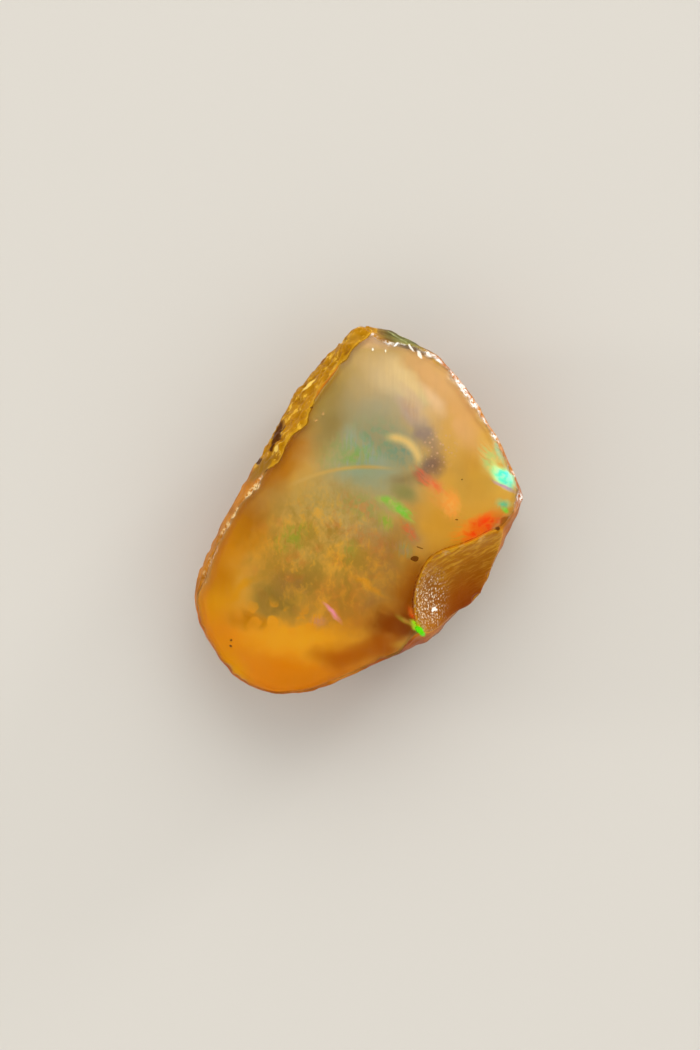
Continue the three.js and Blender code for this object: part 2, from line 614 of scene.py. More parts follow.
    def _settle(self, skin: Skin) -> None:
        """Keeps the stone inside its packed box, with its nearly flat rest face on the table.

        Args:
            skin: The skin to shape.
        """
        low, high = (np.array(corner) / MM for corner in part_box(CAD_NODE))
        under = skin.places[:, 2] < self.rest_height
        graze = self.rest_unevenness * (1.0 + Lumps(2.5, 2, 4.4).at(skin.places))
        skin.places[under, 2] = np.clip(graze, 0.0, self.rest_limit)[under]
        skin.places = np.clip(skin.places, low, high)


# ---------------------------------------------------------------- helpers for finishes


def tint(red: int, green: int, blue: int) -> tuple[float, float, float, float]:
    """Turns a colour into the values that shaders use.

    Args:
        red: Shade from 0 to 255, as on a screen.
        green: Likewise.
        blue: Likewise.

    Returns:
        The linear colour, fully opaque.
    """
    linear = []
    for shade in (red, green, blue):
        share = shade / 255.0
        linear.append(share / 12.92 if share <= 0.04045 else ((share + 0.055) / 1.055) ** 2.4)
    return (*linear, 1.0)


class Wander(Enum):
    """How far the outline of a painted patch strays: the noise's lumps and its reach, in millimetres."""

    SOFT = ((7.0, 2.0), (2.0, 0.6))
    LUMPY = ((3.0, 1.3), (1.0, 0.5))
    FINE = ((1.2, 0.3),)


class Rays(Enum):
    """Directions of the fine rays in the play-of-colour, in degrees from +X."""

    UPRIGHT = 118.0
    SLANTED = -12.0
    LEVEL = 35.0


@dataclass(frozen=True)
class Area:
    """An egg shape with a soft edge, in millimetres, turned anticlockwise about Z in degrees.

    The edge is the part of its half lengths that the fading takes, and share is the value inside.
    """

    centre: Place
    reach: Place
    turn: float = 0.0
    edge: float = 0.9
    share: float = 1.0


class Recipe:
    """A material's node tree, with short calls for the nodes that a finish needs."""

    def __init__(self, name: str) -> None:
        """Starts an empty material.

        Args:
            name: The material's name.
        """
        self.material = bpy.data.materials.new(name)
        self.material.use_nodes = True
        self.tree = self.material.node_tree
        self.tree.nodes.clear()
        self.output = self.tree.nodes.new("ShaderNodeOutputMaterial")

    def add(self, kind: str, **settings: object) -> bpy.types.Node:
        """Adds a node.

        Args:
            kind: The end of its type's name.
            **settings: Its settings by name.

        Returns:
            The node.
        """
        node = self.tree.nodes.new("ShaderNode" + kind)
        for name, value in settings.items():
            setattr(node, name, value)
        return node

    def feed(self, node: bpy.types.Node, socket: str | int, value: Feed) -> None:
        """Sets an input.

        Args:
            node: The node that it belongs to.
            socket: The input's name or number.
            value: A plain value, or an output to link it to.
        """
        target = node.inputs[socket]
        if isinstance(value, Socket):
            self.tree.links.new(value, target)
        else:
            target.default_value = value

    def places(self) -> Socket:
        """The point on the piece, in millimetres."""
        coordinates = self.add("TexCoord")
        return self._moved(coordinates.outputs["Object"], (0.0, 0.0, 0.0), 1.0 / MM)

    def _moved(self, at: Socket, offset: Feed, scale: float) -> Socket:
        """Scales places and then moves them.

        Args:
            at: The places.
            offset: How far they move.
            scale: What they are multiplied by first.

        Returns:
            The new places.
        """
        node = self.add("Mapping", vector_type="POINT")
        self.feed(node, "Vector", at)
        self.feed(node, "Location", offset)
        self.feed(node, "Scale", (scale,) * 3)
        return node.outputs["Vector"]

    def kept(self, mark: Enum) -> Socket:
        """A value that the piece keeps at each point."""
        return self.add("Attribute", attribute_name=mark.value).outputs["Fac"]

    def noise(self, at: Socket, grain: float, detail: float = 3.0, roughness: float = 0.55,
              colour: bool = False) -> Socket:
        """Looks up cloudy noise.

        Args:
            at: The places.
            grain: Size of its lumps in millimetres.
            detail: How many finer layers it has.
            roughness: How strong the finer layers are.
            colour: Whether three values are wanted instead of one.

        Returns:
            The noise, about 0.5 on average.
        """
        node = self.add("TexNoise")
        self.feed(node, "Vector", at)
        self.feed(node, "Scale", 1.0 / grain)
        self.feed(node, "Detail", detail)
        self.feed(node, "Roughness", roughness)
        return node.outputs["Color" if colour else "Fac"]

    def warped(self, at: Socket, grain: float, reach: float) -> Socket:
        """Moves places about by noise.

        Args:
            at: The places.
            grain: Size of the noise's lumps in millimetres.
            reach: About how far a place can move along each axis, in millimetres.

        Returns:
            The new places.
        """
        lumps = self.noise(at, grain, 1.0, colour=True)
        apart = self.add("SeparateColor")
        self.feed(apart, 0, lumps)
        joined = self.add("CombineXYZ")
        for i in range(3):
            self.feed(joined, i, apart.outputs[i])
        return self._moved(self._moved(joined.outputs[0], (-reach,) * 3, 2.0 * reach), at, 1.0)

    def strayed(self, at: Socket, wander: Wander) -> Socket:
        """Moves places by each noise that a wander names.

        Args:
            at: The places.
            wander: The noises.

        Returns:
            The new places.
        """
        for grain, reach in wander.value:
            at = self.warped(at, grain, reach)
        return at

    def grains(self, at: Socket, spacing: float) -> Socket:
        """Looks up how far places are from the nearest of many scattered points.

        Args:
            at: The places.
            spacing: How far apart the points are, in millimetres.

        Returns:
            The distance, as a share of the spacing.
        """
        node = self.add("TexVoronoi")
        self.feed(node, "Vector", at)
        self.feed(node, "Scale", 1.0 / spacing)
        return node.outputs["Distance"]

    def between(self, share: Feed, first: Feed, second: Feed) -> Socket:
        """Mixes two plain values.

        Args:
            share: How much of the second is taken.
            first: One value.
            second: The other.

        Returns:
            The mix.
        """
        node = self.add("Mix", data_type="FLOAT")
        self.feed(node, 0, share)
        self.feed(node, 2, first)
        self.feed(node, 3, second)
        return node.outputs[0]

    def math(self, operation: str, first: Feed, second: Feed = 0.0) -> Socket:
        """Works out a sum, product or other operation.

        Args:
            operation: Its name.
            first: The first value.
            second: The second, if it takes two.

        Returns:
            The result.
        """
        node = self.add("Math", operation=operation)
        self.feed(node, 0, first)
        self.feed(node, 1, second)
        return node.outputs[0]

    def eased(self, value: Socket, low: float, high: float, top: float = 1.0, foot: float = 0.0) -> Socket:
        """Takes a smooth step.

        Args:
            value: What the step is taken along.
            low: Where it starts.
            high: Where it ends.
            top: The result at high and past it.
            foot: The result at low and before it.

        Returns:
            The step.
        """
        node = self.add("MapRange", interpolation_type="SMOOTHSTEP", clamp=False)
        self.feed(node, "Value", value)
        self.feed(node, "From Min", low)
        self.feed(node, "From Max", high)
        self.feed(node, "To Min", foot)
        self.feed(node, "To Max", top)
        return node.outputs["Result"]

    def streaks(self, at: Socket, turn: float, across: float, along: float) -> Socket:
        """Noise drawn out along a direction, with its sizes in millimetres."""
        return self.noise(self.drawn(at, turn, across, along), 1.0, 2.0)

    def drawn(self, at: Socket, turn: float, across: float, along: float) -> Socket:
        """Shrinks places, so that what is looked up there is drawn out.

        Args:
            at: The places.
            turn: Direction that it is drawn out along, in degrees from +X.
            across: How much larger it gets across that direction.
            along: How much larger it gets along it, and in height.

        Returns:
            The new places.
        """
        node = self.add("Mapping", vector_type="TEXTURE")
        self.feed(node, "Vector", at)
        self.feed(node, "Rotation", (0.0, 0.0, math.radians(turn)))
        self.feed(node, "Scale", (along, across, along))
        return node.outputs["Vector"]

    def mixed(self, share: Feed, first: Feed, second: Feed) -> Socket:
        """Mixes two colours.

        Args:
            share: How much of the second is taken.
            first: One colour.
            second: The other.

        Returns:
            The mix.
        """
        node = self.add("Mix", data_type="RGBA")
        self.feed(node, 0, share)
        self.feed(node, 6, first)
        self.feed(node, 7, second)
        return node.outputs[2]

    def ellipse(self, at: Socket, area: Area) -> Socket:
        """Measures how close places are to the middle of an area.

        Args:
            at: The places.
            area: The egg shape.

        Returns:
            The closeness: 1 in the middle, 0.5 on the egg's skin, and 0 from twice its reach.
        """
        ball = self.add("TexGradient", gradient_type="SPHERICAL")
        self.feed(ball, "Vector", at)
        ball.texture_mapping.vector_type = "TEXTURE"
        ball.texture_mapping.translation = area.centre
        ball.texture_mapping.rotation = (0.0, 0.0, math.radians(area.turn))
        ball.texture_mapping.scale = tuple(2.0 * half for half in area.reach)
        return ball.outputs["Fac"]

    def blob(self, at: Socket, area: Area, label: str = "") -> Socket:
        """Fills an area.

        Args:
            at: The places.
            area: The egg shape.
            label: What the node tree calls it.

        Returns:
            The area's share inside it and 0 outside, with a soft edge.
        """
        inside = self.ellipse(at, area)
        share = self.eased(inside, 0.5 - 0.2 * area.edge, 0.5 + 0.5 * area.edge, area.share)
        share.node.label = label
        return share


# ---------------------------------------------------------------- the cloud inside

MID_HEIGHT = 9.0  # height of the middle of a patch that goes right down through the cloud
THROUGH = 60.0  # half the height of such a patch
FLASH_HEIGHT = 14.0  # height of the middle of a patch of play-of-colour, near the window
FLASH_DEPTH = 9.0  # half the height of such a patch, so that none of it runs down the walls
FLASH_GAIN = 1.25  # how much wider a patch of play-of-colour is laid, as its edge fades inwards
TUBE = 1000.0  # half the height of the tube whose wall an arc lies on, so that it stays upright


@dataclass(frozen=True)
class Zone:
    """A soft patch of one colour, seen from above the window face, that goes right down."""

    name: str
    centre: tuple[float, float]
    reach: tuple[float, float]
    turn: float
    colour: Shade
    share: float = 1.0
    edge: float = 0.9
    wander: Wander = Wander.SOFT

    def area(self) -> Area:
        """Its egg shape in the cloud."""
        return Area((*self.centre, MID_HEIGHT), (*self.reach, THROUGH), self.turn, self.edge, self.share)


BODY_ZONES = (
    Zone("left edge amber", (-13.5, -8.0), (4.2, 14.0), 0.0, (190, 114, 2), 0.95),
    Zone("bottom orange", (1.0, -20.0), (15.0, 6.5), 30.0, (222, 116, 4)),
    Zone("left shade", (-12.8, -3.4), (2.8, 5.0), 4.0, (138, 78, 2), 0.95),
    Zone("left corner amber", (-12.0, -17.5), (5.0, 6.0), 0.0, (212, 132, 4)),
    Zone("yellow foot", (-6.5, -22.6), (5.0, 2.0), -30.0, (222, 146, 0), 0.9),
    Zone("left foot orange", (-6.5, -19.0), (6.5, 3.6), 20.0, (224, 118, 0), 0.85),
    Zone("wisp of the left lobe", (-9.8, -13.6), (4.2, 0.8), 64.0, (212, 134, 6), 0.7, 0.9, Wander.LUMPY),
    Zone("left brown band", (-13.0, 3.5), (2.6, 8.0), 4.0, (158, 92, 8), 0.9),
    Zone("upper left olive gold", (-12.6, 14.0), (3.6, 7.5), -6.0, (170, 132, 10), 0.95),
    Zone("top tan", (-9.5, 19.0), (6.5, 4.5), 10.0, (200, 170, 90), 0.9),
    Zone("rim peach", (0.5, 20.0), (11.0, 2.6), -22.0, (244, 178, 102), 0.9),
    Zone("peach corner", (-11.0, 21.7), (2.5, 1.3), 10.0, (255, 204, 146), 1.0, 0.8),
    Zone("right gold", (5.5, 14.5), (7.0, 6.5), -20.0, (232, 176, 64), 0.9),
    Zone("lower right gold", (8.2, 6.5), (5.0, 4.0), 20.0, (202, 142, 42), 0.9),
    # the pale band, pale top and peach glow below are partly the milky body and partly a painted sheen
    Zone("pale band", (-4.7, 17.2), (6.0, 2.4), -14.0, (230, 202, 152), 0.85),
    Zone("pale top", (-5.0, 19.0), (3.8, 1.5), -12.0, (255, 232, 184), 0.9),
    Zone("peach glow", (-0.8, 18.3), (2.8, 1.1), -26.0, (255, 206, 164), 0.9),
    Zone("green haze", (-4.4, 8.6), (7.6, 9.5), 32.0, (122, 154, 156), 0.97),
    Zone("haze's left side", (-10.6, 9.2), (2.6, 4.6), 10.0, (122, 106, 56), 0.85),
    Zone("right brown gold", (7.8, 12.4), (2.6, 2.8), 0.0, (174, 134, 52), 0.8),
    Zone("middle gold", (-6.8, 0.4), (8.0, 3.6), 30.0, (162, 142, 74), 0.85),
    Zone("mauve shade", (-2.5, 15.4), (3.0, 1.1), -8.0, (158, 136, 160), 0.9),
    Zone("bend of the mauve shade", (0.6, 14.1), (2.8, 1.3), -36.0, (124, 108, 110), 0.92, 0.9,
         Wander.LUMPY),
    Zone("brown of the mauve shade", (3.1, 11.0), (2.6, 1.5), -84.0, (106, 82, 78), 0.88, 0.9,
         Wander.LUMPY),
    Zone("foot of the mauve shade", (2.6, 8.8), (1.3, 1.0), 0.0, (124, 96, 66), 0.8),
    # the pale lip, blue grey spot and light in the lip below are partly the milky body and partly a painted
    # sheen
    Zone("pale lip of the haze", (-4.4, 17.5), (5.6, 2.2), -14.0, (255, 242, 204), 0.6),
    Zone("blue grey spot", (-2.0, 17.6), (1.6, 1.0), -20.0, (224, 222, 222), 0.85),
    Zone("light in the lip", (-4.2, 18.5), (3.4, 0.9), -12.0, (255, 244, 206), 0.7),
    Zone("peach band", (4.4, 17.2), (4.6, 1.3), -38.0, (250, 184, 112), 0.8),
    Zone("gold band", (7.2, 13.6), (3.0, 1.6), -60.0, (214, 152, 46), 0.7),
    Zone("lime by the fan", (8.6, 14.4), (1.5, 1.0), -60.0, (206, 192, 96), 0.6),
    Zone("dark shade", (0.8, 7.8), (1.8, 1.3), 20.0, (122, 112, 80), 0.85),
    Zone("dusk over the sickle", (1.8, 6.1), (1.9, 1.1), -10.0, (112, 122, 76), 0.85),
    Zone("peach over the mauve", (-2.4, 16.6), (3.0, 0.9), -20.0, (206, 176, 176), 0.6),
    Zone("middle brown", (3.2, -3.4), (3.2, 5.6), 6.0, (164, 106, 50), 0.8),
    Zone("dusk of the bank", (4.6, -7.5), (2.1, 1.25), 30.0, (112, 82, 50), 0.85, 0.9, Wander.LUMPY),
    Zone("grey of the middle", (0.8, 0.8), (3.2, 2.2), 10.0, (144, 130, 84), 0.75),
    Zone("olive by the beads", (5.1, 2.2), (2.4, 1.8), 0.0, (156, 118, 66), 0.8),
    Zone("brown by the break", (6.6, -4.6), (2.2, 4.2), 6.0, (142, 90, 26), 0.75),
    Zone("skin by the break", (8.8, -4.2), (2.6, 6.2), 6.0, (130, 66, 4), 1.0, 0.8),
    Zone("lower skin", (5.0, -9.6), (5.5, 2.6), 38.0, (166, 100, 26), 0.8),
    Zone("dusk right of the bank", (4.2, -1.4), (2.2, 6.0), 4.0, (140, 104, 50), 0.8),
    Zone("brown shade under the break", (9.2, -7.6), (4.2, 2.3), 42.0, (104, 40, 0), 0.9, 0.8,
         Wander.LUMPY),
    Zone("halo of the cloud", (-0.5, -15.2), (8.0, 3.0), 28.0, (252, 160, 26), 0.95, 0.7, Wander.LUMPY),
    Zone("dip in the halo", (-6.8, -16.2), (3.0, 1.4), 24.0, (168, 102, 2), 0.9, 0.9, Wander.LUMPY),
    Zone("lower left dusk", (-11.8, -13.6), (2.2, 2.4), 0.0, (172, 104, 0), 0.7),
    Zone("lower right orange", (5.6, -14.2), (4.6, 1.9), 34.0, (158, 76, 0), 0.9),
    Zone("orange under the wedge", (8.6, -11.2), (3.4, 1.9), 32.0, (142, 66, 2), 0.9),
    Zone("cloud bank", (-2.8, -7.4), (8.2, 6.6), 34.0, (168, 124, 42), 0.75, 0.35, Wander.LUMPY),
    Zone("brown of the bank", (1.4, -8.6), (4.2, 3.6), 30.0, (174, 104, 34), 0.6, 0.9, Wander.LUMPY),
    Zone("gold of the bank", (-5.4, -4.6), (3.4, 3.0), 60.0, (188, 152, 66), 0.7, 0.9, Wander.LUMPY),
    Zone("grey gold of the bank", (-2.6, -1.0), (3.6, 2.6), 20.0, (178, 160, 92), 0.5, 0.9, Wander.LUMPY),
    Zone("olive of the bank", (-5.2, -12.6), (3.4, 2.4), 20.0, (118, 98, 36), 0.9, 0.7, Wander.LUMPY),
    Zone("shade of the bank", (-4.4, -9.6), (3.0, 1.8), 30.0, (130, 98, 46), 0.85, 0.9, Wander.LUMPY),
    Zone("gold heart of the bank", (-1.2, -5.4), (2.0, 1.3), 40.0, (216, 156, 52), 0.6, 0.9, Wander.LUMPY),
    Zone("orange stripe of the bank", (3.5, -5.4), (2.5, 0.6), -4.0, (218, 134, 24), 0.65, 0.9,
         Wander.LUMPY),
    Zone("gold of the break", (11.8, 4.4), (3.0, 6.5), -22.0, (182, 122, 8), 0.95),
    Zone("dark edge of the break", (15.6, 0.0), (2.6, 7.0), -18.0, (150, 72, 4), 0.9),
    Zone("olive facet", (-8.4, 24.2), (5.4, 1.6), -6.0, (110, 120, 50), 0.95, 0.3, Wander.FINE),
    Zone("gold below the facet", (-3.6, 23.2), (2.6, 0.8), -14.0, (222, 156, 30), 0.9, 0.5, Wander.FINE),
    Zone("corner bevel", (15.0, 10.4), (1.6, 3.0), -20.0, (186, 126, 20), 0.9),
    Zone("pale lip", (11.4, -9.3), (2.2, 0.5), 28.0, (188, 136, 36), 0.7, 0.9, Wander.FINE),
)


@dataclass(frozen=True)
class Flash:
    """A patch of play-of-colour of two hues, seen from above the window face and cut up by fine rays."""

    name: str
    centre: tuple[float, float]
    reach: tuple[float, float]
    turn: float
    colour: Shade
    second: Shade
    share: float = 0.9
    glow: float = 0.3
    edge: float = 0.8
    cut: float = 0.6
    rays: Rays = Rays.UPRIGHT

    def area(self) -> Area:
        """Its egg shape in the cloud."""
        reach = (FLASH_GAIN * self.reach[0], FLASH_GAIN * self.reach[1], FLASH_DEPTH)
        return Area((*self.centre, FLASH_HEIGHT), reach, self.turn, self.edge, self.share)


FLASHES = (
    Flash("blue green pool", (-1.3, 10.8), (2.6, 1.5), 0.0, (96, 150, 166), (130, 158, 150), 0.8, 0.08,
          0.9, 0.4),
    Flash("green pool", (-4.8, 10.2), (3.4, 2.2), 40.0, (112, 160, 122), (154, 150, 112), 0.6, 0.05, 0.9,
          0.5),
    Flash("low green pool", (-7.6, 6.8), (2.6, 1.8), 60.0, (130, 158, 84), (160, 160, 90), 0.5, 0.05, 0.9,
          0.6),
    Flash("leaf green of the haze", (-5.2, 7.6), (2.0, 1.1), 50.0, (116, 172, 70), (140, 162, 90), 0.75,
          0.06, 1.0, 0.5),
    Flash("green flecks", (-7.3, -4.9), (2.2, 1.4), 60.0, (120, 156, 42), (172, 154, 58), 0.65, 0.05, 0.9,
          0.9),
    Flash("green flecks of the middle", (-0.6, -2.5), (1.7, 0.9), 100.0, (128, 150, 48), (178, 150, 60),
          0.5, 0.05, 0.9, 0.9),
    Flash("red flecks", (-1.8, 2.6), (2.6, 1.4), 10.0, (196, 124, 70), (130, 150, 70), 0.5, 0.05, 0.9, 0.9),
    Flash("green sickle", (2.6, 4.5), (1.9, 0.66), -8.0, (90, 192, 46), (124, 184, 72), 1.0, 0.25, 0.9,
          0.3, Rays.SLANTED),
    Flash("green sickle's head", (0.4, 4.7), (1.3, 0.55), 20.0, (110, 190, 56), (150, 180, 80), 0.9, 0.2,
          0.9, 0.6, Rays.SLANTED),
    Flash("green under the sickle", (1.6, 2.4), (1.1, 0.8), -30.0, (112, 172, 44), (150, 160, 60), 0.8,
          0.15, 0.9, 0.7),
    Flash("red below the sickle", (4.6, 2.9), (1.6, 0.55), -30.0, (200, 88, 50), (158, 112, 70), 0.8,
          0.15, 0.9, 0.7, Rays.SLANTED),
    Flash("blue grey by the beads", (5.2, 0.6), (1.1, 0.8), 0.0, (140, 140, 104), (120, 150, 90), 0.6,
          0.05, 0.9, 0.7),
    Flash("brown red mist", (1.0, -0.4), (3.2, 1.2), 10.0, (176, 104, 58), (160, 120, 70), 0.55, 0.05,
          0.9, 0.6),
    Flash("red spark", (4.3, 9.2), (1.5, 0.6), -4.0, (240, 60, 44), (222, 92, 60), 1.0, 0.25, 1.0, 0.4,
          Rays.SLANTED),
    Flash("red spark's head", (2.6, 9.5), (1.2, 0.7), -20.0, (214, 80, 66), (180, 96, 76), 0.85, 0.15,
          1.0, 0.5, Rays.SLANTED),
    Flash("orange mist", (5.8, 8.5), (2.8, 1.3), -20.0, (246, 140, 66), (238, 150, 74), 0.55, 0.12, 1.0,
          0.4, Rays.SLANTED),
    Flash("orange drop", (7.4, 8.3), (1.5, 0.95), -58.0, (255, 134, 48), (244, 150, 60), 0.9, 0.3, 0.9,
          0.2),
    Flash("magenta streak", (1.5, -10.4), (1.25, 0.28), -20.0, (214, 104, 176), (210, 116, 150), 0.95,
          0.45, 0.9, 0.2, Rays.SLANTED),
    Flash("magenta ghost", (0.6, -12.2), (0.8, 0.6), 20.0, (188, 118, 130), (204, 140, 96), 0.5, 0.1, 1.0,
          0.5),
    Flash("lilac ghost", (-2.6, 15.8), (1.4, 0.7), -30.0, (178, 140, 132), (196, 150, 120), 0.6, 0.05,
          0.9, 0.5),
    # peach light and peach tip glow a little: partly the milky body, partly a painted sheen
    Flash("peach light", (-0.8, 18.3), (1.6, 0.6), -26.0, (255, 208, 152), (250, 202, 142), 0.8, 0.26,
          0.9, 0.1),
    Flash("peach tip", (-11.1, 21.6), (1.1, 0.6), 10.0, (255, 206, 150), (252, 198, 140), 0.8, 0.24, 0.9,
          0.1),
    Flash("green by the break", (11.6, -6.8), (1.2, 0.5), -6.0, (110, 250, 0), (150, 235, 20), 1.0, 0.8,
          0.5, 0.2, Rays.SLANTED),
    Flash("green above it", (11.5, -6.1), (0.6, 0.5), 0.0, (96, 170, 10), (150, 160, 20), 0.9, 0.3, 0.8,
          0.4),
    Flash("green tail", (10.1, -6.9), (1.3, 0.28), 0.0, (170, 170, 40), (190, 140, 40), 0.8, 0.2, 0.9,
          0.3, Rays.SLANTED),
    Flash("red by the break", (10.0, -5.7), (0.9, 0.45), -30.0, (226, 60, 6), (206, 90, 16), 0.9, 0.35,
          0.9, 0.3),
    Flash("fan of green", (8.9, 15.4), (2.1, 1.0), -30.0, (188, 204, 112), (224, 186, 100), 0.9, 0.2, 0.9,
          0.6, Rays.SLANTED),
    Flash("fan's upper ray", (9.2, 16.8), (1.5, 0.35), -36.0, (150, 220, 150), (220, 200, 130), 0.9, 0.3,
          0.9, 0.3, Rays.SLANTED),
    Flash("fan of lime", (9.9, 14.9), (1.9, 0.85), -24.0, (140, 224, 110), (196, 226, 100), 0.85, 0.22,
          1.0, 0.4, Rays.SLANTED),
    Flash("fan of cyan", (11.5, 14.4), (1.6, 0.95), -10.0, (50, 236, 232), (100, 246, 236), 1.0, 1.0, 0.6,
          0.12, Rays.SLANTED),
    Flash("fan of blue", (12.1, 14.0), (0.9, 0.4), -8.0, (60, 160, 255), (90, 200, 255), 1.0, 0.8, 0.9,
          0.1, Rays.SLANTED),
    Flash("fan of violet", (11.9, 13.4), (1.5, 0.22), 4.0, (110, 98, 230), (150, 110, 204), 1.0, 0.5, 0.9,
          0.1, Rays.SLANTED),
    Flash("teal spot", (13.0, 11.6), (0.9, 0.55), 20.0, (50, 176, 128), (120, 180, 110), 0.95, 0.35, 0.9,
          0.3),
    Flash("leaf green spot", (13.6, 11.0), (0.45, 0.36), 0.0, (60, 214, 40), (90, 200, 60), 0.95, 0.4,
          0.7, 0.2),
    Flash("orange of the triangle", (11.1, 6.8), (2.4, 1.2), 60.0, (244, 108, 16), (232, 130, 30), 0.9,
          0.25, 1.0, 0.4, Rays.LEVEL),
    Flash("red triangle", (12.2, 8.0), (2.5, 1.15), 60.0, (240, 40, 0), (222, 78, 6), 1.0, 0.28, 0.7,
          0.15, Rays.LEVEL),
)


@dataclass(frozen=True)
class Arc:
    """A fine curved line inside the stone: part of a circle, seen from above the window face.

    It is drawn only in the area round its middle.
    """

    name: str
    centre: tuple[float, float]
    radius: float
    width: float
    middle: tuple[float, float]
    reach: tuple[float, float]
    turn: float
    colour: Shade
    share: float
    glow: float

    def circle(self) -> Area:
        """The upright tube whose wall the line lies on."""
        return Area((*self.centre, MID_HEIGHT), (self.radius, self.radius, TUBE))

    def area(self) -> Area:
        """The egg shape that it is drawn in."""
        return Area((*self.middle, MID_HEIGHT), (*self.reach, THROUGH), self.turn, 0.5, self.share)


ARCS = (
    Arc("healed crack", (6.3, -10.5), 20.2, 0.42, (-6.2, 5.3), (6.6, 3.0), 42.0, (206, 168, 84), 0.75,
        0.05),
    Arc("yellow crescent", (-1.2, 8.9), 3.22, 0.95, (-0.9, 11.9), (3.3, 1.7), -10.0, (252, 216, 114),
        0.95, 0.2),
)

SKIN_LOSS = (24.0, 130.0, 500.0)  # what the honey body takes from red, green and blue, per metre
SKIN_PASS = 0.52  # share of the studio's light that comes back out through the skin from a white thing
SKIN_TURNED_BACK = 0.55  # share that the skin's inner side throws back
SKIN_PATH = 2.6  # how far light travels in the skin, there and back, for each millimetre of depth
BRIGHTEST = 0.97  # the most light that a painted thing gives back


def under_skin(colour: Shade, depth: float) -> tuple[float, ...]:
    """The colour a thing has under the honey body, for it to look a wanted colour from outside.

    Args:
        colour: The wanted colour, as shades from 0 to 255.
        depth: How deep the thing lies, in millimetres. Light passes there and back.

    Returns:
        The linear colour. It allows for the light that the skin turns back on its way out.
    """
    shades = []
    for wanted, loss in zip(tint(*colour), SKIN_LOSS):
        ratio = wanted / (SKIN_PASS * math.exp(-loss * SKIN_PATH * depth * MM))
        shades.append(min(BRIGHTEST, ratio / (1.0 + SKIN_TURNED_BACK * ratio)))
    return (*shades, 1.0)


@dataclass(frozen=True)
class Clots:
    """Small clouds of one size: the noise they are cut from, and how strong dark and bright ones are."""

    grain: float
    roughness: float
    dark: float
    bright: float


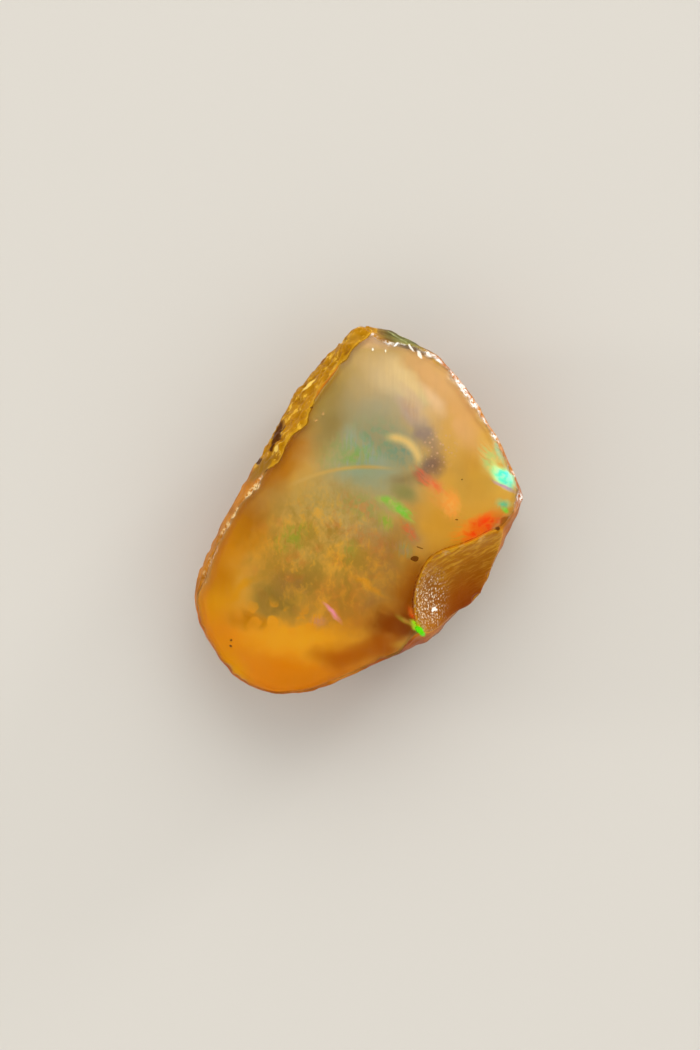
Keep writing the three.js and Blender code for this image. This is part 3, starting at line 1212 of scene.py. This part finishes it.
@dataclass(frozen=True)
class CloudFinish:
    """The hazy cloud inside the stone, with its patches of play-of-colour."""

    depth: float
    ground: Shade = (206, 148, 50)
    roughness: float = 0.7
    inner_light: float = 0.12
    clouded: Area = Area((-3.0, -4.5, MID_HEIGHT), (10.0, 9.0, THROUGH), 34.0, 0.7)
    rust: Shade = (184, 98, 38)
    clots: tuple[Clots, ...] = (Clots(3.0, 0.6, 0.6, 0.52), Clots(0.9, 0.62, 0.34, 0.36))
    dark_clot: Shade = (134, 108, 36)
    bright_clot: Shade = (248, 166, 42)
    puffed: Area = Area((-3.3, -14.2, MID_HEIGHT), (6.2, 2.1, THROUGH), 24.0, 0.8)
    puff: Shade = (244, 150, 26)
    dusted: Area = Area((2.4, 12.9, MID_HEIGHT), (2.6, 3.0, THROUGH), -20.0, 0.8, 0.75)
    dust: Shade = (226, 176, 140)
    silk: Shade = (240, 180, 64)
    name: str = "opal cloud"

    def make(self) -> bpy.types.Material:
        """Builds the material.

        Returns:
            The material, which is opaque and has a little light of its own.
        """
        recipe = Recipe(self.name)
        at = recipe.places()
        strayed = {wander: recipe.strayed(at, wander) for wander in Wander}
        colour: Feed = self._inside(self.ground)
        for zone in BODY_ZONES:
            share = recipe.blob(strayed[zone.wander], zone.area(), zone.name)
            colour = recipe.mixed(share, colour, self._inside(zone.colour))
        colour = self._mottled(recipe, at, colour)
        colour, glow = self._flashes(recipe, strayed[Wander.FINE], colour)
        colour, glow = self._arcs(recipe, at, colour, glow)
        shader = recipe.add("BsdfPrincipled")
        recipe.feed(shader, "Base Color", colour)
        recipe.feed(shader, "Roughness", self.roughness)
        recipe.feed(shader, "Specular IOR Level", 0.0)
        recipe.feed(shader, "Emission Color", recipe.mixed(glow, (0.0, 0.0, 0.0, 1.0), colour))
        recipe.feed(shader, "Emission Strength", 1.0)
        recipe.feed(recipe.output, "Surface", shader.outputs[0])
        return recipe.material

    def _inside(self, shade: Shade) -> tuple[float, ...]:
        """The paint that looks a wanted shade from outside the stone."""
        return under_skin(shade, self.depth)

    def _mottled(self, recipe: Recipe, at: Socket, colour: Feed) -> Socket:
        """Adds small clouds in the lower half, puffs and dust, and silky lines all over.

        Args:
            recipe: The material being made.
            at: The places.
            colour: What they lie over.

        Returns:
            The new colour.
        """
        where = recipe.blob(recipe.warped(at, 4.0, 1.5), self.clouded, "clouded lower half")
        plumes = recipe.drawn(at, Rays.UPRIGHT.value, 1.0, 1.3)
        rust = recipe.eased(recipe.noise(recipe.warped(at, 3.0, 1.0), 2.4, 3.0), 0.52, 0.7, 0.55)
        colour = recipe.mixed(recipe.math("MULTIPLY", rust, where), colour, self._inside(self.rust))
        for clots in self.clots:
            warped = recipe.warped(plumes, 0.8 * clots.grain, 0.4 * clots.grain)
            lumps = recipe.noise(warped, clots.grain, 5.0, clots.roughness)
            dark = recipe.math("MULTIPLY", recipe.eased(lumps, 0.52, 0.38, clots.dark), where)
            bright = recipe.math("MULTIPLY", recipe.eased(lumps, 0.52, 0.66, clots.bright), where)
            colour = recipe.mixed(dark, colour, self._inside(self.dark_clot))
            colour = recipe.mixed(bright, colour, self._inside(self.bright_clot))
        shore = recipe.blob(recipe.warped(at, 3.0, 1.2), self.puffed, "puffs of the lower shore")
        puffs = recipe.eased(recipe.grains(recipe.warped(at, 1.2, 0.5), 1.7), 0.53, 0.4, 0.85)
        colour = recipe.mixed(recipe.math("MULTIPLY", puffs, shore), colour, self._inside(self.puff))
        dusty = recipe.blob(at, self.dusted, "dust near the peach band")
        dust = recipe.eased(recipe.grains(at, 0.55), 0.34, 0.16)
        colour = recipe.mixed(recipe.math("MULTIPLY", dust, dusty), colour, self._inside(self.dust))
        silk = recipe.streaks(recipe.warped(at, 3.0, 0.8), Rays.UPRIGHT.value, 0.7, 3.0)
        return recipe.mixed(recipe.eased(silk, 0.5, 0.8, 0.06), colour, self._inside(self.silk))

    def _flashes(self, recipe: Recipe, at: Socket, colour: Feed) -> tuple[Socket, Feed]:
        """Lays the play-of-colour over the colour.

        Args:
            recipe: The material being made.
            at: The places.
            colour: What they lie over.

        Returns:
            The new colour, and the glow of the patches.
        """
        rays = {way: recipe.streaks(at, way.value, 0.3, 2.2) for way in Rays}
        hues = recipe.eased(recipe.noise(at, 0.9, 2.0), 0.4, 0.6)
        glow: Feed = self.inner_light
        for flash in FLASHES:
            gaps = recipe.eased(rays[flash.rays], 0.5, 0.34, flash.cut * flash.share)
            share = recipe.math("SUBTRACT", recipe.blob(at, flash.area(), flash.name), gaps)
            tone = recipe.mixed(hues, self._inside(flash.colour), self._inside(flash.second))
            colour = recipe.mixed(share, colour, tone)
            glow = recipe.between(share, glow, flash.glow)
        return colour, glow

    def _arcs(self, recipe: Recipe, at: Socket, colour: Feed, glow: Feed) -> tuple[Feed, Feed]:
        """Draws the fine curved lines.

        Args:
            recipe: The material being made.
            at: The places.
            colour: What they lie over.
            glow: The glow so far.

        Returns:
            The new colour and glow.
        """
        for arc in ARCS:
            off = recipe.math("ABSOLUTE", recipe.math("SUBTRACT", recipe.ellipse(at, arc.circle()), 0.5))
            line = recipe.eased(off, 0.5 * arc.width / arc.radius, 0.0)
            share = recipe.math("MULTIPLY", line, recipe.blob(at, arc.area(), arc.name))
            colour = recipe.mixed(share, colour, self._inside(arc.colour))
            glow = recipe.between(share, glow, arc.glow)
        return colour, glow


# ---------------------------------------------------------------- the stone's skin


@dataclass(frozen=True)
class Speck:
    """A small spot in the skin, seen from above, with its half lengths, its height and half its depth."""

    name: str
    at: tuple[float, float]
    reach: tuple[float, float]
    turn: float
    colour: Shade
    share: float = 0.9
    height: float = 12.5
    deep: float = 8.0

    def area(self) -> Area:
        """Its egg shape in the skin."""
        return Area((*self.at, self.height), (*self.reach, self.deep), self.turn, 0.4, self.share)


SPECKS = (
    Speck("brown spot by the break", (6.85, 0.25), (0.5, 0.34), 30.0, (104, 58, 10)),
    Speck("short brown streak", (6.8, 1.75), (0.34, 0.09), 0.0, (116, 74, 24), 0.6),
    Speck("spot at the right corner", (14.05, 8.65), (0.42, 0.2), 30.0, (104, 56, 10)),
    Speck("upper black dot", (-7.6, -19.8), (0.13, 0.13), 0.0, (50, 18, 6), 1.0),
    Speck("lower black dot", (-7.3, -20.4), (0.15, 0.13), 0.0, (44, 16, 6), 1.0),
    Speck("right tick", (9.0, 7.1), (0.2, 0.08), 20.0, (110, 66, 16), 0.7),
    Speck("right dot", (7.1, 11.6), (0.1, 0.1), 0.0, (90, 60, 20), 0.7),
    # the crust's pits are painted dark brown: painted shade
    Speck("brown pit of the crust", (-15.5, 5.1), (2.0, 0.42), 98.0, (84, 44, 4), 1.0, 10.5),
    Speck("low pit of the crust", (-15.8, 1.1), (0.5, 0.36), 110.0, (84, 46, 6), 0.9, 10.0),
    Speck("dusk of the crust's foot", (-15.0, 0.4), (2.6, 0.75), 76.0, (142, 98, 16), 0.8, 10.5),
    Speck("top pit of the crust", (-14.3, 20.2), (0.4, 0.3), 20.0, (110, 66, 10), 0.8, 10.0),
    Speck("left dot", (-13.4, 10.0), (0.12, 0.18), 120.0, (96, 50, 10), 0.8),
    # a hollow of the crust painted darker: painted shade
    Speck("brown hollow of the crust", (-15.4, 15.4), (1.5, 0.28), 78.0, (128, 74, 8), 0.7, 9.5),
    Speck("pale clump of the crust", (-14.6, 3.5), (0.5, 0.28), 100.0, (240, 206, 100), 0.75, 10.5),
    # a pale streak on the crust's ridge: a painted highlight
    Speck("painted highlight on the crust's ridge", (-15.1, 12.4), (1.2, 0.22), 74.0, (250, 214, 104), 0.75, 10.0),
    Speck("pale line on the facet", (-8.6, 23.1), (1.9, 0.1), -5.0, (176, 180, 112), 0.6, 9.0, 4.0),
    Speck("green glint on the lip", (12.15, -7.15), (0.8, 0.38), -20.0, (92, 232, 0), 0.85, 11.5),
    Speck("pale tick", (-10.35, 20.1), (0.2, 0.09), 120.0, (255, 248, 230), 0.8),
    Speck("second pale tick", (-8.9, 20.7), (0.26, 0.1), 120.0, (255, 248, 230), 0.8),
    # white nick and chips under the facet: crushed white fracture with painted glints
    Speck("white nick", (-8.2, 22.0), (0.45, 0.16), 68.0, (255, 250, 240), 0.9, 11.4, 1.3),
    Speck("white chips under the facet", (-6.5, 22.7), (0.8, 0.13), -20.0, (255, 246, 232), 0.75, 11.8,
          1.3),
    Speck("more chips under the facet", (-5.1, 22.4), (0.6, 0.2), -30.0, (255, 246, 232), 0.75, 12.2, 1.3),
    Speck("gold top of the crust", (-13.6, 19.9), (1.5, 0.9), 30.0, (208, 156, 50), 0.35, 10.5),
    Speck("dusk of the right corner", (14.4, 9.9), (0.9, 0.6), 60.0, (170, 106, 22), 0.4),
    Speck("pale fleck", (-11.7, 10.1), (0.26, 0.12), 120.0, (216, 172, 110), 0.6),
    Speck("second pale fleck", (-12.0, 8.9), (0.34, 0.12), 50.0, (210, 164, 100), 0.6),
)


@dataclass(frozen=True)
class Side:
    """A side of the stone that is nearly opaque, with the two shades that it clouds between."""

    name: str
    area: Area
    shades: tuple[Shade, Shade]


SIDES = (
    Side("far end", Area((-8.6, 24.2, 10.5), (5.6, 3.4, 9.0), -3.0, 0.7), ((58, 66, 12), (116, 120, 40))),
    Side("left wall", Area((-17.5, -10.0, 12.0), (6.5, 12.0, 20.0), 8.0, 0.4),
         ((156, 92, 0), (190, 118, 2))),
    Side("lower right wall", Area((12.0, -11.5, 10.0), (6.0, 3.6, 20.0), 40.0, 0.4),
         ((138, 58, 0), (176, 88, 0))),
)


@dataclass(frozen=True)
class Stain:
    """An area of the shell-shaped break with a shade of its own."""

    name: str
    area: Area
    shade: Shade


STAINS = (
    Stain("orange middle", Area((14.6, -0.6, 10.0), (3.6, 6.6, 30.0), -16.0, 1.0, 0.9), (166, 84, 2)),
    Stain("red brown foot", Area((16.6, -2.6, 7.0), (3.2, 6.0, 30.0), -14.0), (134, 52, 0)),
    Stain("brown under the sugar", Area((11.2, -3.2, 12.5), (2.8, 4.4, 9.0), 28.0, 0.9, 0.8),
          (132, 72, 18)),
)


@dataclass(frozen=True)
class OpalFinish:
    """The stone's clear honey body, milky near the top, frosted on the break and crusted on the left.

    Areas say where an effect lies, and covers say how opaque it is, from 0 to 1. A pair of shades is
    what the colour clouds between.
    """

    refraction: float = 1.4
    shine: float = 0.15
    shine_tint: float = 0.12
    roughness: tuple[float, float] = (0.1, 0.42)
    clear: Shade = (255, 246, 226)
    facet: Area = Area((-8.2, 24.4, 13.0), (5.4, 1.5, 12.0), -6.0, 0.3)
    facet_shade: Shade = (120, 128, 50)
    veiled: Area = Area((-4.5, 17.0, 14.0), (11.0, 6.5, 40.0), -16.0)
    veil: Shade = (236, 224, 200)
    upper: Area = Area((0.0, 0.0, 16.0), (60.0, 60.0, 7.5))
    low_wall: tuple[Shade, Shade] = ((160, 72, 0), (196, 106, 6))
    high_wall: tuple[Shade, Shade] = ((192, 114, 6), (222, 150, 34))
    top: Area = Area((0.0, 0.0, 14.0), (60.0, 60.0, 8.0), 0.0, 0.5)
    wall_cover: tuple[float, float] = (0.3, 0.85)
    side_cover: float = 0.94
    thin_wall: Shade = (250, 218, 126)
    wax: tuple[Shade, Shade] = ((176, 112, 4), (222, 170, 46))
    # gold of the painted highlight round the break's edge
    edge_highlight: Shade = (232, 168, 26)
    wax_cover: float = 0.72
    sugared: Area = Area((11.1, -3.2, 12.5), (2.5, 4.1, 9.0), 28.0, 0.6)
    sugar: tuple[Shade, Shade] = ((194, 144, 84), (255, 242, 214))
    white_grain: Area = Area((12.3, -3.9, 12.5), (0.42, 0.3, 6.0), 20.0, 0.3)
    white: Shade = (255, 250, 240)
    gold_rim: Area = Area((-16.0, -10.0, 12.0), (7.0, 12.0, 20.0), 0.0, 0.3)
    # pale gold of the bruises and painted glints on the left rim
    gold_bruise_and_glint: Shade = (238, 206, 146)
    bark: Shade = (180, 124, 2)
    # dark brown painted shade for the crust's hollows and pits
    hollow_shade: Shade = (84, 44, 4)
    bark_dark: Shade = (140, 84, 2)
    bark_pale: Shade = (240, 192, 62)
    bark_edge: Shade = (226, 174, 40)
    bark_cover: float = 0.8
    name: str = "honey opal"

    def make(self) -> bpy.types.Material:
        """Builds the material.

        Returns:
            The material: clear, with honey-coloured depth, wherever it is not milky.
        """
        recipe = Recipe(self.name)
        at = recipe.places()
        milk, colour = self._milk(recipe, at)
        smooth, rough = self.roughness
        shader = recipe.add("BsdfPrincipled")
        recipe.feed(shader, "Base Color", colour)
        recipe.feed(shader, "Roughness", recipe.eased(milk, 0.0, 1.0, rough, smooth))
        recipe.feed(shader, "IOR", self.refraction)
        recipe.feed(shader, "Specular IOR Level", self.shine)
        recipe.feed(shader, "Specular Tint", (*(self.shine_tint,) * 3, 1.0))
        recipe.feed(shader, "Transmission Weight", recipe.math("SUBTRACT", 1.0, milk))
        recipe.feed(shader, "Normal", self._relief(recipe, at, milk))
        recipe.feed(recipe.output, "Surface", shader.outputs[0])
        absorption = recipe.add("VolumeAbsorption")
        density = max(SKIN_LOSS) * 1.02
        recipe.feed(absorption, "Color", (*(1.0 - loss / density for loss in SKIN_LOSS), 1.0))
        recipe.feed(absorption, "Density", density)
        recipe.feed(recipe.output, "Volume", absorption.outputs[0])
        return recipe.material

    def _milk(self, recipe: Recipe, at: Socket) -> tuple[Feed, Feed]:
        """How opaque the surface is at each place, and its colour there.

        Args:
            recipe: The material being made.
            at: The places.

        Returns:
            The opacity, from 0 to 1, and the colour.
        """
        near = recipe.strayed(at, Wander.FINE)
        layers = [self._veil(recipe, at), self._walls(recipe, at, near), self._break(recipe, near),
                  self._frost(recipe, at, near), self._bruises_and_glints(recipe, near), self._crust(recipe, near)]
        facet = recipe.blob(near, self.facet, "facet")
        colour: Feed = recipe.mixed(facet, tint(*self.clear), tint(*self.facet_shade))
        milk: Feed = 0.0
        for speck in SPECKS:
            layers.append((recipe.blob(near, speck.area(), speck.name), tint(*speck.colour)))
        for opacity, paint in layers:
            milk = recipe.math("MAXIMUM", milk, opacity)
            over = recipe.math("DIVIDE", opacity, recipe.math("MAXIMUM", milk, 0.02))
            colour = recipe.mixed(over, colour, paint)
        return milk, colour

    @staticmethod
    def _clouding(recipe: Recipe, fog: Socket, shades: tuple[Shade, Shade]) -> Socket:
        """One shade going over to another where the fog is thick."""
        return recipe.mixed(fog, tint(*shades[0]), tint(*shades[1]))

    def _veil(self, recipe: Recipe, at: Socket) -> Layer:
        """Makes the thin milkiness of the upper window, brushed with fine lines.

        Args:
            recipe: The material being made.
            at: The places.

        Returns:
            Its opacity and its colour.
        """
        where = recipe.blob(at, self.veiled, "veil")
        where = recipe.math("MULTIPLY", where, recipe.kept(Mark.WINDOW))
        lines = recipe.eased(recipe.streaks(at, Rays.UPRIGHT.value, 0.3, 5.0), 0.3, 0.7, 0.14, 0.1)
        return recipe.math("MULTIPLY", where, lines), tint(*self.veil)

    def _walls(self, recipe: Recipe, at: Socket, near: Socket) -> Layer:
        """Makes the cloudiness of the broken walls, deep orange low down and olive at the far end.

        Args:
            recipe: The material being made.
            at: The places.
            near: The places, strayed a little.

        Returns:
            Its opacity and its colour.
        """
        fog = recipe.eased(recipe.noise(near, 2.6, 5.0, 0.62), 0.34, 0.66)
        low = self._clouding(recipe, fog, self.low_wall)
        high = self._clouding(recipe, fog, self.high_wall)
        colour = recipe.mixed(recipe.blob(near, self.upper, "upper walls"), low, high)
        solid: Feed = 0.0
        for side in SIDES:
            share = recipe.blob(near, side.area, side.name)
            colour = recipe.mixed(share, colour, self._clouding(recipe, fog, side.shades))
            solid = recipe.math("MAXIMUM", solid, share)
        top = recipe.blob(at, self.top, "top of the walls")
        walls = recipe.math("SUBTRACT", 1.0, recipe.kept(Mark.WINDOW))
        foot_cover, top_cover = self.wall_cover
        cover = recipe.between(solid, recipe.eased(top, 0.0, 1.0, top_cover, foot_cover), self.side_cover)
        opacity = recipe.math("MULTIPLY", walls, cover)
        return opacity, recipe.mixed(recipe.eased(opacity, 0.02, 0.55), tint(*self.thin_wall), colour)

    def _break(self, recipe: Recipe, near: Socket) -> Layer:
        """Makes the waxy shell-shaped break, streaked with gold, then orange and red brown.

        Args:
            recipe: The material being made.
            near: The places, strayed a little.

        Returns:
            Its opacity and its colour.
        """
        streaks = recipe.eased(recipe.streaks(near, 57.0, 0.24, 2.2), 0.44, 0.68, 0.85)
        colour = self._clouding(recipe, streaks, self.wax)
        for stain in STAINS:
            colour = recipe.mixed(recipe.blob(near, stain.area, stain.name), colour, tint(*stain.shade))
        share = recipe.kept(Mark.BREAK)
        # a gold line round the edge of the break: a painted highlight
        line = recipe.math("MULTIPLY", share, recipe.math("SUBTRACT", 1.0, share))
        colour = recipe.mixed(recipe.eased(line, 0.06, 0.2), colour, tint(*self.edge_highlight))
        return recipe.math("MULTIPLY", share, self.wax_cover), colour

    def _frost(self, recipe: Recipe, at: Socket, near: Socket) -> Layer:
        """Makes the sugary grains on the shell-shaped break, one of them larger and white.

        Args:
            recipe: The material being made.
            at: The places.
            near: The places, strayed a little.

        Returns:
            Their opacity and their colour.
        """
        where = recipe.blob(near, self.sugared, "sugary grains")
        clumps = recipe.eased(recipe.noise(near, 0.55, 4.0, 0.75), 0.38, 0.52)
        crowd = recipe.math("MULTIPLY", recipe.math("MULTIPLY", where, clumps), recipe.kept(Mark.BREAK))
        grains = recipe.eased(recipe.grains(at, 0.3), 0.55, 0.3)
        white = recipe.blob(recipe.warped(near, 0.5, 0.3), self.white_grain, "white grain")
        bright = recipe.eased(recipe.noise(at, 0.4, 2.0, 0.7), 0.42, 0.62)
        colour = self._clouding(recipe, bright, self.sugar)
        frost = recipe.math("MULTIPLY", crowd, grains)
        return recipe.math("MAXIMUM", frost, white), recipe.mixed(white, colour, tint(*self.white))

    def _bruises_and_glints(self, recipe: Recipe, near: Socket) -> Layer:
        """Makes the bruises and painted glints along the chipped rims, white on the right and pale gold on
        the left.

        Args:
            recipe: The material being made.
            near: The places, strayed a little.

        Returns:
            Their opacity and their colour.
        """
        # white patches on the chipped rims: crushed fracture, partly painted glints
        flakes = recipe.eased(recipe.noise(near, 0.34, 3.0, 0.75), 0.46, 0.51)
        left = recipe.blob(near, self.gold_rim, "gold bruises and glints")
        share = recipe.math("MULTIPLY", recipe.kept(Mark.CHIPPED), flakes)
        return share, recipe.mixed(left, tint(*self.white), tint(*self.gold_bruise_and_glint))

    def _crust(self, recipe: Recipe, near: Socket) -> Layer:
        """Makes the gold crust of the left wall, painted brown in its pits as shade, and pale on its lumps.

        Args:
            recipe: The material being made.
            near: The places, strayed a little.

        Returns:
            Its opacity and its colour.
        """
        grit = recipe.noise(recipe.drawn(near, 76.0, 0.7, 1.4), 0.8, 4.0, 0.65)
        # the deeper a place lies in a hollow or pit, the darker brown it is painted: painted shade
        bark = self._clouding(recipe, recipe.kept(Mark.HOLLOW), (self.bark, self.hollow_shade))
        bark = recipe.mixed(recipe.eased(grit, 0.46, 0.32, 0.8), bark, tint(*self.bark_dark))
        bark = recipe.mixed(recipe.eased(grit, 0.54, 0.66, 0.85), bark, tint(*self.bark_pale))
        share = recipe.kept(Mark.CRUST)
        bark = recipe.mixed(recipe.eased(share, 0.8, 0.35, 0.4), bark, tint(*self.bark_edge))
        return recipe.eased(share, 0.06, 0.4, self.bark_cover), bark

    def _relief(self, recipe: Recipe, at: Socket, milk: Socket) -> Socket:
        """Makes grit where the surface is opaque, and a faint grain elsewhere.

        Args:
            recipe: The material being made.
            at: The places.
            milk: How opaque the surface is.

        Returns:
            The normal.
        """
        strength = recipe.eased(milk, 0.1, 0.6, 0.7, 0.03)
        height = recipe.noise(at, 0.3, 2.0, 0.6)
        bump = recipe.add("Bump")
        recipe.feed(bump, "Strength", strength)
        recipe.feed(bump, "Distance", 0.1 * MM)
        recipe.feed(bump, "Height", height)
        return bump.outputs[0]


@dataclass
class Cloud:
    """The milky mass sealed inside the stone, with its depths under the skin in millimetres."""

    depth: float = 0.85
    depth_in_walls: float = 0.3
    window_slope: tuple[float, float] = (0.5, 0.9)
    lumps: Lumps = Lumps(4.0, 3, 6.1)
    lump_height: float = 0.2
    facet: Place = (-9.0, 24.4, 12.0)
    facet_reach: Place = (7.0, 2.2, 8.0)
    facet_depth: float = 1.0
    least_cover: float = 0.14
    sealings: int = 2

    def build(self, stone: bpy.types.Object) -> bpy.types.Object:
        """Makes it by drawing the finished stone in.

        Args:
            stone: The finished stone.

        Returns:
            The cloud, with its finish.
        """
        piece = merged_copy(stone, "opal_cloud")
        piece.data.materials.clear()
        skin = Skin(piece.data)
        shell = bvhtree.BVHTree.FromPolygons(skin.places.tolist(), skin.quads.tolist())
        just_under = skin.places - self.least_cover * skin.normals()
        skin.smooth(8)
        lumps = self.lumps.at(skin.places)
        from_facet = np.linalg.norm((skin.places - self.facet) / self.facet_reach, axis=1)
        top = smoothstep(*self.window_slope, skin.normals()[:, 2])
        for _ in range(4):
            top = skin.neighbour_mean(top)
        depth = self.depth_in_walls + (self.depth - self.depth_in_walls) * top
        depth += self.lump_height * (lumps + 0.5) * top
        skin.push(-depth - self.facet_depth * smoothstep(1.2, 0.3, from_facet))
        skin.smooth(3)
        for _ in range(self.sealings):
            self._seal(skin, shell)
            skin.smooth(1)
        self._tuck_in(skin, shell, just_under)
        skin.write()
        piece.data.shade_smooth()
        piece.data.materials.append(CloudFinish(self.depth).make())
        return piece

    def _seal(self, skin: Skin, shell: bvhtree.BVHTree) -> None:
        """Draws every point that lies outside the shell, or too close under it, back inside.

        Args:
            skin: The cloud's skin.
            shell: The finished stone.
        """
        for i, place in enumerate(skin.places):
            nearest, facing, _, _ = shell.find_nearest(place)
            if (Vector(place) - nearest).dot(facing) > -self.least_cover:
                skin.places[i] = nearest - facing * self.least_cover

    def _tuck_in(self, skin: Skin, shell: bvhtree.BVHTree, just_under: np.ndarray) -> None:
        """Puts every point that still lies outside the shell just under its own place on the stone.

        Args:
            skin: The cloud's skin.
            shell: The finished stone.
            just_under: Where each point goes.
        """
        for i, place in enumerate(skin.places):
            nearest, facing, _, _ = shell.find_nearest(place)
            if (Vector(place) - nearest).dot(facing) > 0.0:
                skin.places[i] = just_under[i]


# ---------------------------------------------------------------- the studio


def heading(turn: float, height: float) -> Vector:
    """The direction to a turn from +X and a height above the level, both in degrees."""
    turn, height = math.radians(turn), math.radians(height)
    return Vector((math.cos(turn) * math.cos(height), math.sin(turn) * math.cos(height), math.sin(height)))


@dataclass(frozen=True)
class Softbox:
    """A square area light that looks at the stone.

    Its turn from +X and its height are in degrees, seen from the stone, and its power is in watts.
    """

    name: str
    turn: float
    height: float
    distance: float
    side: float
    power: float

    def build(self) -> None:
        """Adds the light."""
        light = bpy.data.lights.new(self.name, "AREA")
        light.shape = "SQUARE"
        light.size = self.side
        light.energy = self.power
        way = heading(self.turn, self.height)
        box = bpy.data.objects.new(self.name, light)
        box.location = way * self.distance
        box.rotation_euler = way.to_track_quat("Z", "Y").to_euler()
        bpy.context.scene.collection.objects.link(box)


@dataclass
class Studio:
    """Pale table, soft light and the camera that looks down on the stone, in metres and degrees."""

    sensor: float = 36.0
    lens: float = 100.0
    height: float = 0.3716
    aim: tuple[float, float] = (-0.00199, -0.00012)
    roll: float = 30.0
    table: Place = (0.62, 0.592, 0.54)
    table_radius: float = 30.0
    table_light: float = 1.12
    air: Place = (1.0, 0.985, 0.96)
    sky_light: float = 1.3
    sky: tuple[tuple[float, float], ...] = ((0.16, 1.0), (0.7, 1.0), (0.92, 0.15), (1.0, 0.12))
    glow: float = 1.6
    glow_at: tuple[float, float] = (110.0, 33.0)
    glow_from: float = 0.75
    lights: tuple[Softbox, ...] = (
        Softbox("rim light", 75.0, 11.0, 0.8, 0.15, 1.6),
        Softbox("side light", 205.0, 12.0, 0.8, 0.15, 1.2),
    )

    def build(self) -> None:
        """Makes the table, the surroundings, the camera and the lights."""
        self._floor()
        self._world()
        self._camera()
        for light in self.lights:
            light.build()

    def _floor(self) -> None:
        """Lays a very wide round table top under the stone."""
        work = bmesh.new()
        bmesh.ops.create_circle(work, cap_ends=True, radius=self.table_radius, segments=96)
        mesh = bpy.data.meshes.new("floor")
        work.to_mesh(mesh)
        work.free()
        floor = bpy.data.objects.new("floor", mesh)
        bpy.context.scene.collection.objects.link(floor)
        pale = bpy.data.materials.new("pale table")
        pale.use_nodes = True
        shader = pale.node_tree.nodes["Principled BSDF"]
        shader.inputs["Base Color"].default_value = (*self.table, 1.0)
        shader.inputs["Roughness"].default_value = 0.9
        mesh.materials.append(pale)

    def _world(self) -> None:
        """Makes the sky: dark above, as bright as the far table at the level, with one soft glow."""
        world = bpy.data.worlds.new("studio")
        world.use_nodes = True
        tree = world.node_tree
        way = tree.nodes.new("ShaderNodeTexCoord").outputs["Generated"]
        split = tree.nodes.new("ShaderNodeSeparateXYZ")
        ramp = tree.nodes.new("ShaderNodeValToRGB")
        horizon = tuple(shade * self.table_light / self.sky_light for shade in self.table)
        stops = [(0.0, horizon), *((height, (light,) * 3) for height, light in self.sky)]
        while len(ramp.color_ramp.elements) < len(stops):
            ramp.color_ramp.elements.new(0.5)
        for element, (height, light) in zip(ramp.color_ramp.elements, stops):
            element.position = height
            element.color = (*(share * shade for share, shade in zip(light, self.air)), 1.0)
        toward = tree.nodes.new("ShaderNodeVectorMath")
        toward.operation = "DOT_PRODUCT"
        toward.inputs[1].default_value = heading(*self.glow_at)
        lobe = tree.nodes.new("ShaderNodeMapRange")
        lobe.interpolation_type = "SMOOTHSTEP"
        lobe.inputs["From Min"].default_value = self.glow_from
        lobe.inputs["To Max"].default_value = self.glow
        total = tree.nodes.new("ShaderNodeVectorMath")
        total.operation = "MULTIPLY_ADD"
        total.inputs[1].default_value = (self.sky_light,) * 3
        tree.links.new(way, split.inputs[0])
        tree.links.new(split.outputs["Z"], ramp.inputs[0])
        tree.links.new(way, toward.inputs[0])
        tree.links.new(toward.outputs["Value"], lobe.inputs["Value"])
        tree.links.new(ramp.outputs[0], total.inputs[0])
        tree.links.new(lobe.outputs[0], total.inputs[2])
        tree.links.new(total.outputs[0], tree.nodes["Background"].inputs["Color"])
        bpy.context.scene.world = world

    def _camera(self) -> None:
        """Sets up a long lens straight above the window face."""
        data = bpy.data.cameras.new("camera")
        data.lens = self.lens
        data.sensor_width = self.sensor
        camera = bpy.data.objects.new("camera", data)
        camera.location = (*self.aim, self.height)
        camera.rotation_euler = (0.0, 0.0, math.radians(self.roll))
        bpy.context.scene.collection.objects.link(camera)
        bpy.context.scene.camera = camera


def main() -> None:
    """Builds the studio, the stone and its cloud in order."""
    logging.basicConfig(level=logging.INFO, format="%(name)s: %(message)s")
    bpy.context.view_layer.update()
    Studio().build()
    stone = Stone().build(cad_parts[CAD_NODE])
    stone.data.materials.append(OpalFinish().make())
    cloud = Cloud().build(stone)
    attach(cloud, BODY)
    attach(stone, BODY)
    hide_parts(CAD_NODE)
    for piece in (stone, cloud):
        log.info("%s: %d faces", piece.name, len(piece.data.polygons))
    bpy.context.scene.view_settings.view_transform = "Standard"


if __name__ == "__main__":
    main()
